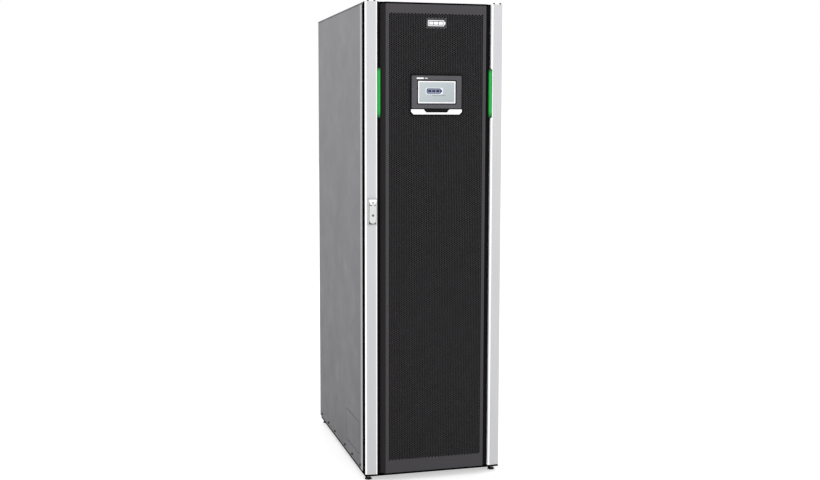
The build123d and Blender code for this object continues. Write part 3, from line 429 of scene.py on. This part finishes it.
def tyre_look():
    """Castor wheel: a grey tread round a paler hub."""
    look = Look("castor_wheel", Specular_IOR_Level=0.35)
    marks = look.fit(look.noise(70.0, 5.0), 0.45, 0.7)
    base = look.mix(marks, (0.055, 0.055, 0.057), (0.11, 0.108, 0.105))
    roughness = look.fit(look.noise(150.0, 3.0), 0.3, 0.7, 0.5, 0.75)
    return look.finish(base, roughness, look.bump(look.noise(700.0, 3.0), 0.0001, 0.6, soft_edge=0.001))


def plain_print(name, colour, rough=0.35, glow=0.0):
    """Screen-printed or enamelled marks: near-even colour with faint mottling."""
    look = Look(name, Specular_IOR_Level=0.4, Emission_Strength=glow)
    mottle = look.fit(look.noise(220.0, 3.0), 0.35, 0.65)
    base = look.mix(mottle, lighter(colour, 0.93), lighter(colour, 1.04))
    if glow:
        look.tree.links.new(base, look.shader.inputs["Emission Color"])
    roughness = look.fit(look.noise(90.0, 2.0), 0.3, 0.7, rough - 0.05, rough + 0.07)
    return look.finish(base, roughness, look.bump(look.noise(1300.0, 1.0), 0.00002, 0.5))


LOOKS = {
    # painted shade, with no sheen, on the frames' outer sides and on the lip
    "frame_black": powder_coat(
        "frame_black", (0.005, 0.005, 0.005), 0.6, worn=(0.012, 0.012, 0.012), specular=0.1,
        painted_shade_mask=painted_frame_shade,
    ),
    # painted light: lighter towards the roof; painted shade round the low service covers
    "panel_grey": powder_coat(
        "panel_grey", srgb(104, 104, 107), 0.55, spread=0.015, specular=0.2, painted_light_by_height=(0.74, 1.42),
        painted_shade_mask=hatch_gap_shade, shade=(0.006, 0.006, 0.006),
    ),
    # painted light: the trim is lighter towards the roof
    "trim_grey": powder_coat(
        "trim_grey", srgb(160, 160, 162), 0.5, spread=0.02, specular=0.2, painted_light_by_height=(0.9, 1.15),
    ),
    "roof_grey": powder_coat("roof_grey", srgb(62, 62, 65), 0.45),
    # painted light: lighter towards the roof; painted shade on the bezel's top edge, bevels and hole walls
    "bezel_grey": powder_coat(
        "bezel_grey", srgb(62, 60, 63), 0.45, painted_light_by_height=(0.80, 1.05),
        painted_shade_mask=painted_bezel_shade, shade=(0.023, 0.021, 0.022), shade_tone=bevel_shade_tone,
    ),
    "module_steel": powder_coat("module_steel", srgb(104, 107, 111), 0.4),
    "silver": pillar_look(),
    "zinc": bare_metal("zinc", (0.60, 0.60, 0.59)),
    "die_cast": powder_coat(
        "die_cast", srgb(205, 205, 206), 0.34, worn=(0.85, 0.85, 0.85), spread=0.03, grain=1200.0,
    ),
    "black_steel": powder_coat(
        "black_steel", (0.008, 0.008, 0.008), 0.35, worn=(0.10, 0.10, 0.10), specular=0.2,
    ),
    "copper": copper_look(),
    "light_green": light_look(),
    "screen_glass": screen_look(),
    "filter_foam": foam_look(),
    "wheel_tread": tyre_look(),
    "cable_rubber": rubber("cable_rubber", (0.008, 0.008, 0.009)),
    "display_plastic": moulded("display_plastic", srgb(78, 77, 81), 0.45, Specular_IOR_Level=0.25),
    "white_plastic": moulded("white_plastic", srgb(240, 240, 242), 0.3, spread=0.02),
    "cell_plastic": moulded("cell_plastic", (0.055, 0.057, 0.065)),
    "black_plastic": moulded("black_plastic", (0.004, 0.004, 0.0045), 0.6, Specular_IOR_Level=0.1),
    "red_plastic": moulded("red_plastic", (0.42, 0.022, 0.014), 0.4),
    "insulator": moulded("insulator", (0.36, 0.04, 0.022), 0.38),
    "breaker_plastic": moulded("breaker_plastic", (0.03, 0.031, 0.034), 0.4, Specular_IOR_Level=0.3),
}
PRINTS = {
    "white": plain_print("print_white", srgb(245, 245, 246)),
    "blue": plain_print("print_blue", srgb(6, 20, 76), 0.3, 0.05),
    "pale": plain_print("print_pale", srgb(196, 204, 211), 0.2, 0.3),
    "grey": plain_print("print_grey", srgb(110, 115, 120), 0.2, 0.1),
    "lamp_green": plain_print("lamp_green", srgb(60, 220, 90), 0.2, 1.2),
    "lamp_amber": plain_print("lamp_amber", srgb(240, 160, 40), 0.2, 0.8),
}
SPECIAL = {
    "lock_spindle": moulded("lock_white", srgb(244, 244, 246), 0.3, spread=0.015),
    # painted shade in the sunk floor of the lock's base
    "lock_escutcheon": powder_coat(
        "lock_base", srgb(212, 212, 213), 0.34, worn=(0.85, 0.85, 0.85), spread=0.03, grain=1200.0,
        painted_shade_mask=lock_dish_shade, shade=srgb(112, 112, 114),
    ),
    "key_cylinder": bare_metal("key_steel", (0.16, 0.16, 0.16), 0.4),
}
foot = foot_look()
for corner in ("front_left", "front_right", "rear_left", "rear_right"):
    SPECIAL["levelling_foot_" + corner] = foot

for part in frame["record"]["subparts"]:
    node = frame["nodes"][part["node"]]
    for index in range(len(node.material_slots)):
        node.material_slots[index].material = SPECIAL.get(part["node"], LOOKS[part["material_slot"]])


# ---------------------------------------------------------------- mesh helpers
WIRE_SIDES = 10
CORNER_STEPS = 5


class Shape:
    """Collects vertices and faces of one piece, in millimetres."""

    def __init__(self):
        self.vertices = []
        self.faces = []

    def loops(self, rings, chain_closed=False):
        """Skins a chain of equal loops of points, and caps its ends if it has any."""
        count = len(rings[0])
        first = len(self.vertices)
        for ring in rings:
            self.vertices.extend(ring)
        spans = len(rings) if chain_closed else len(rings) - 1
        for span in range(spans):
            here = first + span * count
            there = first + ((span + 1) % len(rings)) * count
            for k in range(count):
                after = (k + 1) % count
                self.faces.append((here + k, here + after, there + after, there + k))
        if not chain_closed:
            last = first + (len(rings) - 1) * count
            self.faces.append(tuple(range(first, first + count)))
            self.faces.append(tuple(range(last + count - 1, last - 1, -1)))

    def plate(self, outline, front, back):
        """A solid plate facing the front, over an outline of X, Z points."""
        self.loops([[(x, y, z) for x, z in outline] for y in (front, back)])

    def frame(self, outer, inner, front, back):
        """A flat frame between two outlines with as many points as each other."""
        rings = ((outer, front), (inner, front), (inner, back), (outer, back))
        self.loops([[(x, y, z) for x, z in outline] for outline, y in rings], chain_closed=True)

    def turned(self, centre, axis, profile, segments=24):
        """A lathe shape. Its profile is (radius, height) pairs along the axis, and a radius may be a
        function of the angle."""
        axis = Vector(axis)
        side = axis.orthogonal().normalized()
        other = axis.cross(side)
        rings = []
        for radius, height in profile:
            ring = []
            for k in range(segments):
                angle = 2 * math.pi * k / segments
                reach = radius(angle) if callable(radius) else radius
                out = side * math.cos(angle) + other * math.sin(angle)
                ring.append(tuple(Vector(centre) + axis * height + out * reach))
            rings.append(ring)
        self.loops(rings)

    def rod(self, points, radius):
        """A round wire that follows the points."""
        path = [Vector(point) for point in points]
        rings = []
        side = None
        for k, here in enumerate(path):
            ahead = path[min(k + 1, len(path) - 1)] - path[max(k - 1, 0)]
            ahead.normalize()
            if side is None:
                side = ahead.orthogonal().normalized()
            side = (side - ahead * side.dot(ahead)).normalized()
            other = ahead.cross(side)
            turn = [2 * math.pi * n / WIRE_SIDES for n in range(WIRE_SIDES)]
            rings.append([tuple(here + (side * math.cos(t) + other * math.sin(t)) * radius) for t in turn])
        self.loops(rings)

    def build(self, name, look, body, stands_for=(), sharp=32.0):
        """The finished object, with outward normals and smooth faces between its sharp edges."""
        mesh = bpy.data.meshes.new(name)
        mesh.from_pydata([tuple(c * MM for c in v) for v in self.vertices], [], self.faces)
        work = bmesh.new()
        work.from_mesh(mesh)
        bmesh.ops.recalc_face_normals(work, faces=work.faces)
        limit = math.radians(sharp)
        for face in work.faces:
            face.smooth = True
        for edge in work.edges:
            edge.smooth = len(edge.link_faces) == 2 and edge.calc_face_angle(0.0) < limit
        work.to_mesh(mesh)
        work.free()
        placed(name, mesh, look, body, stands_for)


def placed(name, mesh, look, body, stands_for=()):
    """Puts a mesh in the scene as a piece that rides on a body and may stand for CAD nodes."""
    mesh.materials.append(look)
    made = bpy.data.objects.new(name, mesh)
    scene.collection.objects.link(made)
    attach(made, body)
    if stands_for:
        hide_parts(*stands_for)


def rounded(x0, x1, z0, z1, radius):
    """A rectangle with rounded corners, as X, Z points."""
    points = []
    corners = ((x1 - radius, z1 - radius, 0), (x0 + radius, z1 - radius, 90))
    corners += ((x0 + radius, z0 + radius, 180), (x1 - radius, z0 + radius, 270))
    for x, z, start in corners:
        for k in range(CORNER_STEPS + 1):
            angle = math.radians(start + 90 * k / CORNER_STEPS)
            points.append((x + radius * math.cos(angle), z + radius * math.sin(angle)))
    return points


def in_mm(node):
    """A CAD node's lowest and highest corners, in millimetres."""
    low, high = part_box(node)
    return low * 1000, high * 1000


# ---------------------------------------------------------------- perforated door panel
HOLE_PITCH = 7.8
HOLE_WIDTH = 6.75
PANEL_SHEET = 1.6
COLUMN_STEP = HOLE_PITCH * math.cos(math.radians(30))
FIELD_COLUMNS = 28                      # on each side of the middle
FIELD_BOTTOM = 85.0
FIELD_TOP = 1829.0
ROWS_BELOW = 3                          # whole rows of blank cells under the field
EDGE_PLAY = 0.3                         # a cell that reaches less than this onto the sheet is left out


def honeycomb(name, rows, blank, missing, limits, front, back, look):
    """A panel of hexagonal cells, each with a hexagonal hole unless it is blank."""
    x_low, x_high, z_low, z_high = limits
    corner = HOLE_PITCH / math.sqrt(3)
    hole = HOLE_WIDTH / math.sqrt(3)
    turns = np.radians(np.arange(6) * 60)
    ring = np.stack([np.cos(turns), np.sin(turns)], 1)
    spots, opened = [], []
    for column in range(-FIELD_COLUMNS - 1, FIELD_COLUMNS + 1):
        x = (column + 0.5) * COLUMN_STEP
        for row in rows:
            z = FIELD_BOTTOM + HOLE_PITCH * (row + 0.5 + 0.5 * (column % 2))
            outside = z - HOLE_PITCH / 2 > z_high - EDGE_PLAY or z + HOLE_PITCH / 2 < z_low + EDGE_PLAY
            if outside or missing(x, z):
                continue
            spots.append((x, z))
            inside = -FIELD_COLUMNS <= column < FIELD_COLUMNS
            inside = inside and FIELD_BOTTOM < z - HOLE_PITCH / 2 + 0.1 and z + HOLE_PITCH / 2 < FIELD_TOP
            opened.append(inside and not blank(x, z))
    spots = np.array(spots)
    opened = np.array(opened)
    corners = spots[:, None, :] + ring[None] * corner
    corners[..., 0] = np.clip(corners[..., 0], x_low, x_high)
    corners[..., 1] = np.clip(corners[..., 1], z_low, z_high)
    keys = np.round(corners.reshape(-1, 2) * 50).astype(np.int64)      # cells share their corners
    _, first, number = np.unique(keys, axis=0, return_index=True, return_inverse=True)
    outer = corners.reshape(-1, 2)[first]
    number = number.reshape(-1, 6)
    inner = (spots[opened][:, None, :] + ring[None] * hole).reshape(-1, 2)
    flat = np.concatenate([outer, inner])
    half = len(flat)
    front_points = np.column_stack([flat[:, 0], np.full(half, front), flat[:, 1]])
    back_points = np.column_stack([flat[:, 0], np.full(half, back), flat[:, 1]])
    vertices = np.concatenate([front_points, back_points]) * MM
    holes = len(outer) + np.arange(opened.sum() * 6).reshape(-1, 6)
    faces = []
    edges = {}
    for cell, ids in enumerate(number):
        for k in range(6):
            a, b = int(ids[k]), int(ids[(k + 1) % 6])
            if a != b:
                edges[(a, b)] = True
    solid = [list(dict.fromkeys(int(i) for i in ids)) for ids in number[~opened]]
    for ids in solid:
        if len(ids) > 2:
            faces.append(tuple(ids))
            faces.append(tuple(i + half for i in reversed(ids)))
    rims = number[opened]
    after = np.roll(rims, -1, axis=1)
    holes_after = np.roll(holes, -1, axis=1)
    around = np.stack([rims, after, holes_after, holes], 2).reshape(-1, 4)
    walls = np.stack([holes, holes_after, holes_after + half, holes + half], 2).reshape(-1, 4)
    faces += [tuple(q) for q in around.tolist()]
    faces += [tuple(q) for q in (around[:, ::-1] + half).tolist()]
    faces += [tuple(q) for q in walls.tolist()]
    for a, b in edges:
        if (b, a) not in edges:
            faces.append((b, a, a + half, b + half))
    mesh = bpy.data.meshes.new(name)
    mesh.from_pydata(vertices.tolist(), [], faces)
    placed(name, mesh, look, "door", ("door_sheet",))


sheet_low, sheet_high = in_mm("door_sheet")
badge_low, badge_high = in_mm("badge")
housing_low, housing_high = in_mm("display_housing")
trim_low, trim_high = in_mm("display_trim")
screen_low, screen_high = in_mm("display_screen")
face_y = sheet_low.y
BADGE_MARGIN_X = 7.0
BADGE_MARGIN_Z = 10.0
COVERED_IN = 4.0         # how far in from the display's edges the panel's holes stop
DISPLAY_BOX = (housing_high.x - 8.5, housing_low.z + 8.0, housing_high.z - 7.0)   # half width, bottom, top


def blank_cell(x, z):
    """Behind the badge, and where the display and its trim cover the panel."""
    near_badge = abs(x) < badge_high.x + BADGE_MARGIN_X and (
        badge_low.z - BADGE_MARGIN_Z < z < badge_high.z + BADGE_MARGIN_Z
    )
    beside = abs(x) < housing_high.x - COVERED_IN
    covered = beside and trim_low.z + COVERED_IN < z < housing_high.z - COVERED_IN
    return near_badge or covered


def display_gap(x, z):
    """Where the display's box passes through the panel."""
    half, low, high = DISPLAY_BOX
    return abs(x) < half and low < z < high


row_count = int((sheet_high.z - FIELD_BOTTOM) / HOLE_PITCH) + 2
third = row_count // 3
bands = {
    "lower": range(-ROWS_BELOW, third),
    "middle": range(third, 2 * third),
    "upper": range(2 * third, row_count),
}
for label, rows in bands.items():
    honeycomb(
        "perforated_panel_" + label, rows, blank_cell, display_gap,
        (sheet_low.x, sheet_high.x, sheet_low.z, sheet_high.z),
        face_y, face_y + PANEL_SHEET, LOOKS["bezel_grey"],
    )

# ---------------------------------------------------------------- badge and display details
BATTERY_BARS = 3
PRINT_LIFT = 0.01        # how far a print's back stays off the face under it


def battery_sign(shape, left, right, low, high, front, back, line, gap):
    """A generic battery pictogram: a rounded case, its terminal and charge bars."""
    tip = (right - left) * 0.07
    case_right = right - tip
    outer = rounded(left, case_right, low, high, line * 1.3)
    inner = rounded(left + line, case_right - line, low + line, high - line, line * 0.5)
    shape.frame(outer, inner, front, back)
    middle = (low + high) / 2
    reach = (high - low) * 0.22
    shape.plate(rounded(case_right, right, middle - reach, middle + reach, tip * 0.4), front, back)
    span = (case_right - left - 2 * line - gap) / BATTERY_BARS
    bottom, top = low + line + gap, high - line - gap
    for bar in range(BATTERY_BARS):
        start = left + line + gap + span * bar
        shape.plate(rounded(start, start + span - gap, bottom, top, line * 0.3), front, back)


emblem = Shape()
battery_sign(
    emblem, badge_low.x, badge_high.x, badge_low.z, badge_high.z, badge_low.y, face_y,
    line=2.8, gap=2.6,
)
emblem.build("badge_emblem", PRINTS["white"], "door", ("badge",))


def round_screen(grow, radius):
    """The screen's outline, made larger or smaller all round."""
    return rounded(
        screen_low.x - grow, screen_high.x + grow, screen_low.z - grow, screen_high.z + grow, radius
    )


screen_print_y = screen_low.y - PRINT_LIFT
border = Shape()
border.frame(round_screen(0.0, 0.6), round_screen(-4.0, 0.4), screen_low.y - 0.25, screen_print_y)
border.build("screen_border", PRINTS["white"], "door")

SIGN_X = -10.0
SIGN_Z = (screen_low.z + screen_high.z) / 2 + 4.5
CAPTION_HEIGHTS = (SIGN_Z - 18.6, SIGN_Z - 16.8)
CAPTION_WORDS = ((-18.0, 16.0), (1.0, 10.0), (14.0, 22.0))      # start and length of each bar


def sign_edges(margin_x=0.0, margin_z=0.0):
    """The left, right, low and high edges of the screen's sign, with a margin round it."""
    wide, tall = 31.0 + margin_x, 10.0 + margin_z
    return SIGN_X - wide, SIGN_X + wide, SIGN_Z - tall, SIGN_Z + tall


halo = Shape()
halo.plate(rounded(*sign_edges(4.0, 2.5), 6.0), screen_low.y - 0.08, screen_print_y)
halo.build("screen_sign_ground", PRINTS["pale"], "door")
sign = Shape()
battery_sign(sign, *sign_edges(), screen_low.y - 0.2, screen_low.y - 0.07, line=4.2, gap=1.1)
sign.build("screen_sign", PRINTS["blue"], "door")
caption = Shape()
for start, length in CAPTION_WORDS:
    word = rounded(start, start + length, *CAPTION_HEIGHTS, 0.7)
    caption.plate(word, screen_low.y - 0.1, screen_print_y)
caption.build("screen_caption", PRINTS["grey"], "door")

MARKS_Z = housing_high.z - 10.5
MARKS = ((-81.0, 28.0, 5.4), (-49.0, 12.0, 2.6))        # start, length and height of each bar
housing_print_y = housing_low.y - PRINT_LIFT
marks = Shape()
for start, length, tall in MARKS:
    bar = rounded(start, start + length, MARKS_Z - tall / 2, MARKS_Z + tall / 2, 1.2)
    marks.plate(bar, housing_low.y - 0.2, housing_print_y)
marks.build("display_marks", PRINTS["white"], "door")

surround = Shape()
surround.frame(round_screen(4.2, 2.5), round_screen(0.5, 0.6), housing_low.y - 0.15, housing_print_y)
surround.build("screen_surround", LOOKS["black_plastic"], "door")

# ---------------------------------------------------------------- arch on the lock's cap
lock_low, lock_high = in_mm("lock_escutcheon")
cap_low = in_mm("lock_spindle")[0]
lock_x = (lock_low.x + lock_high.x) / 2
ARCH_DROP = 22.0
ARCH_RADIUS = 9.9
ARCH_WIDTH = 1.3
ARCH_STEPS = 16


def half_circle(radius):
    """The upper half of a circle on the cap, as X, Z points."""
    turns = [math.pi * k / ARCH_STEPS for k in range(ARCH_STEPS + 1)]
    middle = lock_high.z - ARCH_DROP
    return [(lock_x + radius * math.cos(turn), middle + radius * math.sin(turn)) for turn in turns]


arch = Shape()
arch_outline = half_circle(ARCH_RADIUS) + half_circle(ARCH_RADIUS - ARCH_WIDTH)[::-1]
arch.plate(arch_outline, cap_low.y - 0.4, cap_low.y + 0.3)
arch.build("lock_cap_arch", LOOKS["zinc"], "lock_spindle")

# ---------------------------------------------------------------- gasket round the display


def display_outline(grow):
    """Round the housing and the trim under it, as X, Z points from the top right, anticlockwise."""
    half, wide = housing_high.x + grow, trim_high.x + grow
    chamfer = 10.0
    top_corners = 2 * (CORNER_STEPS + 1)
    top = rounded(-half, half, trim_high.z, housing_high.z + grow, 4.0 + grow)[:top_corners]
    side = trim_high.z + 1.5
    left = [(-half, side + 4), (-wide, side)]
    left += [(-wide, trim_low.z + chamfer), (-wide + chamfer, trim_low.z - grow)]
    return top + left + [(-x, z) for x, z in reversed(left)]


def apron(half, low, high):
    """A plain strip across the display, as X, Z points."""
    return [(-half, high), (-half, low), (half, low), (half, high)]


gasket = Shape()
gasket.frame(display_outline(6.0), display_outline(-3.0), face_y - 2.2, face_y)
gasket.plate(apron(44.0, trim_low.z + 6.0, trim_high.z + 4.5), face_y - 4.0, face_y)
gasket.plate(apron(104.0, trim_high.z - 1.0, trim_high.z + 4.4), face_y - 3.4, face_y)
gasket.build("display_gasket", LOOKS["black_plastic"], "door")

# ---------------------------------------------------------------- dust filter behind the panel
filter_low, filter_high = in_mm("dust_filter")
GRID = 9.7
SIDE_SAG = 0.8           # how far the mat's side edges are pressed in
WIRE_RADIUS = 1.5
WIRE_HEIGHTS = (200.0, 480.0, 760.0, 1040.0, 1300.0, 1640.0, 1790.0)
WIRE_HALF, WIRE_BEND, WIRE_LEG = (203.0, 209.0), 6.0, 14.0


def foam_mat():
    """A soft mat with an uneven skin, cut out for the display's box."""
    columns = round((filter_high.x - filter_low.x) / GRID)
    rows = round((filter_high.z - filter_low.z) / GRID)
    xs = np.linspace(filter_low.x, filter_high.x, columns + 1)
    zs = np.linspace(filter_low.z, filter_high.z, rows + 1)
    wander = np.random.default_rng(7)
    sag = wander.uniform(0.0, 1.0, (2, columns + 1, rows + 1))
    sag[:, 0, :] = sag[:, -1, :] = SIDE_SAG
    half, low, high = DISPLAY_BOX
    shape = Shape()
    for side, y in enumerate((filter_low.y + 0.2, filter_high.y - 0.2)):
        inward = 1 if side == 0 else -1
        for i, x in enumerate(xs):
            for j, z in enumerate(zs):
                shape.vertices.append((x, y + inward * sag[side, i, j], z))
    layer = (columns + 1) * (rows + 1)
    rim = {}                            # an ordered set of the mat's edges, each with its direction
    for i in range(columns):
        for j in range(rows):
            if abs((xs[i] + xs[i + 1]) / 2) < half and low < (zs[j] + zs[j + 1]) / 2 < high:
                continue
            a = i * (rows + 1) + j
            corners = (a, a + rows + 1, a + rows + 2, a + 1)
            shape.faces.append(corners)
            shape.faces.append(tuple(c + layer for c in reversed(corners)))
            for k in range(4):
                rim[(corners[k], corners[(k + 1) % 4])] = True
    for a, b in rim:
        if (b, a) not in rim:
            shape.faces.append((b, a, a + layer, b + layer))
    # The points inside the cut-out belong to no face and are dropped.
    used = sorted({index for face in shape.faces for index in face})
    renumber = {old: new for new, old in enumerate(used)}
    shape.vertices = [shape.vertices[old] for old in used]
    shape.faces = [tuple(renumber[index] for index in face) for face in shape.faces]
    shape.build("filter_mat", LOOKS["filter_foam"], "door", ("dust_filter",), sharp=60)


foam_mat()

wires = Shape()
wire_y = filter_high.y + 2.0
for z in WIRE_HEIGHTS:
    inner, outer = WIRE_HALF
    left = [(-outer, wire_y, z - WIRE_LEG), (-outer, wire_y, z - WIRE_BEND), (-inner, wire_y, z)]
    wires.rod(left + [(-x, y, z) for x, y, z in reversed(left)], WIRE_RADIUS)
wires.build("filter_wires", LOOKS["zinc"], "door")

# ---------------------------------------------------------------- screws
SIDE_SCREWS_Y = (-361.0, -214.0, -74.0, 132.0, 273.0, 424.0)
REAR_SCREWS_X = 252.0
REAR_SCREWS_Z = (60.0, 480.0, 950.0, 1420.0, 1835.0)
CABLE_PLATE_X = (-128.0, 0.0, 128.0)
CABLE_PLATE_Y = (262.0, 358.0)
PILLAR_SCREWS_X = (266.2, 240.5)


def hexagon(apothem):
    """The reach of a hexagon at an angle, for a socket."""
    def reach(angle):
        return apothem / math.cos((angle % math.radians(60)) - math.radians(30))
    return reach


def button_screw(shape, centre, axis, radius, height):
    """A domed head with a hexagon socket."""
    socket = hexagon(radius * 0.42)
    dome = [(1.0, 0.0), (1.0, 0.35), (0.93, 0.72), (0.78, 0.95), (0.6, 1.0)]
    profile = [(radius * 0.96, -0.4)] + [(radius * out, height * up) for out, up in dome]
    profile += [(socket, height), (socket, height * 0.35), (0.01, height * 0.25)]
    shape.turned(centre, axis, profile)


side_screws = Shape()
plate_x = in_mm("right_side_panel")[1].x
screw_z = in_mm("panel_screws")[0].z + 4.0
for y in SIDE_SCREWS_Y:
    for side in (-1, 1):
        button_screw(side_screws, (side * plate_x, y, screw_z), (side, 0, 0), 5.0, 5.0)
back_y = in_mm("rear_panel")[1].y
for z in REAR_SCREWS_Z:
    for side in (-1, 1):
        button_screw(side_screws, (side * REAR_SCREWS_X, back_y, z), (0, 1, 0), 4.5, 1.9)
side_screws.build("panel_screw_heads", LOOKS["black_steel"], "cabinet", ("panel_screws",))

roof_top = in_mm("roof_panel")[1].z
roof_screws = Shape()
for x in CABLE_PLATE_X:
    for y in CABLE_PLATE_Y:
        button_screw(roof_screws, (x, y, roof_top), (0, 0, 1), 4.0, 2.0)
roof_screws.build("cable_plate_screws", LOOKS["black_steel"], "cabinet")

pillar_low, pillar_high = in_mm("pillar_screws")
cap_screws = Shape()
for x in PILLAR_SCREWS_X:
    for side in (-1, 1):
        middle = (side * x, (pillar_low.y + pillar_high.y) / 2, pillar_low.z)
        button_screw(cap_screws, middle, (0, 0, 1), 3.8, pillar_high.z - pillar_low.z)
cap_screws.build("pillar_screw_heads", LOOKS["black_steel"], "door", ("pillar_screws",))

# ---------------------------------------------------------------- equipment fronts
RACK_SCREW_X, RACK_SCREW_INSET = 227.0, 14.0
LAMP_STEP, LAMP_DROP = 12.0, 16.0
LAMP_DOME = [(2.6, -0.3), (2.6, 0.6), (2.0, 1.3), (1.0, 1.7), (0.01, 1.8)]
rack_screws = Shape()
lamps_green = Shape()
lamps_amber = Shape()
plate_y = in_mm("battery_module_1")[0].y
faceplates = []                         # bottom, top and the middle lamp's X
for number in range(1, 5):
    low, high = in_mm(f"battery_module_{number}")
    faceplates.append((low.z, high.z, 74.0))
low, high = in_mm("control_unit")
faceplates.append((low.z, high.z, 110.0))
low, high = in_mm("power_modules")
middle = (low.z + high.z) / 2
faceplates += [(low.z, middle - 2, 150.0), (middle + 2, high.z, 150.0)]
low, high = in_mm("fan_tray")
faceplates.append((low.z, high.z, 0.0))
for bottom, top, lamp_x in faceplates:
    for x in (-RACK_SCREW_X, RACK_SCREW_X):
        for z in (bottom + RACK_SCREW_INSET, top - RACK_SCREW_INSET):
            button_screw(rack_screws, (x, plate_y, z), (0, -1, 0), 5.0, 2.6)
    for place, group in ((-1, lamps_green), (0, lamps_green), (1, lamps_amber)):
        spot = (lamp_x + place * LAMP_STEP, plate_y, top - LAMP_DROP)
        group.turned(spot, (0, -1, 0), LAMP_DOME, 16)
rack_screws.build("rack_screws", LOOKS["zinc"], "cabinet")
lamps_green.build("status_lamps_green", PRINTS["lamp_green"], "cabinet")
lamps_amber.build("status_lamps_amber", PRINTS["lamp_amber"], "cabinet")

# ---------------------------------------------------------------- rubber seal on the cabinet's front frame
seal = Shape()
seal_y = in_mm("cabinet_frame")[0].y
HALF_D = [(-4.0, 0.0), (-3.4, -3.2), (-1.6, -5.0), (1.6, -5.0), (3.4, -3.2), (4.0, 0.0)]
SEAL_X = 247.0
SEAL_BOTTOM, SEAL_TOP = 97.0, 1832.0
SEAL_BREAKS = ((172.0, 228.0), (922.0, 978.0), (1672.0, 1728.0))    # where the hinge blocks pass


def seal_upright(x, low, high):
    """One straight run of the seal's half-round section."""
    seal.loops([[(x + u, seal_y + v, z) for u, v in HALF_D] for z in (low, high)])


seal_upright(-SEAL_X, SEAL_BOTTOM, SEAL_TOP)
starts = [SEAL_BOTTOM] + [high for low, high in SEAL_BREAKS]
ends = [low for low, high in SEAL_BREAKS] + [SEAL_TOP]
for low, high in zip(starts, ends):
    seal_upright(SEAL_X, low, high)
seal.loops([[(x, seal_y + v, SEAL_TOP + 4.5 + u) for u, v in HALF_D] for x in (-SEAL_X - 4, SEAL_X + 4)])
seal.build("door_seal", LOOKS["cable_rubber"], "cabinet", sharp=50)

# ---------------------------------------------------------------- floor
FLOOR_HALF = 30.0
corners = ((-1, -1), (1, -1), (1, 1), (-1, 1))
floor_mesh = bpy.data.meshes.new("floor")
floor_mesh.from_pydata([(x * FLOOR_HALF, y * FLOOR_HALF, 0) for x, y in corners], [], [(0, 1, 2, 3)])
floor = bpy.data.objects.new("floor", floor_mesh)
floor_look = Look("floor_pale", Specular_IOR_Level=0.1, Emission_Strength=0.75)
cloud = floor_look.fit(floor_look.noise(1.5, 4.0), 0.3, 0.7)
tint = floor_look.mix(cloud, (0.69, 0.69, 0.69), (0.71, 0.71, 0.71))
floor_look.tree.links.new(tint, floor_look.shader.inputs["Emission Color"])
dullness = floor_look.fit(floor_look.noise(8.0, 3.0), 0.3, 0.7, 0.6, 0.7)
floor_mesh.materials.append(floor_look.finish(tint, dullness))
scene.collection.objects.link(floor)
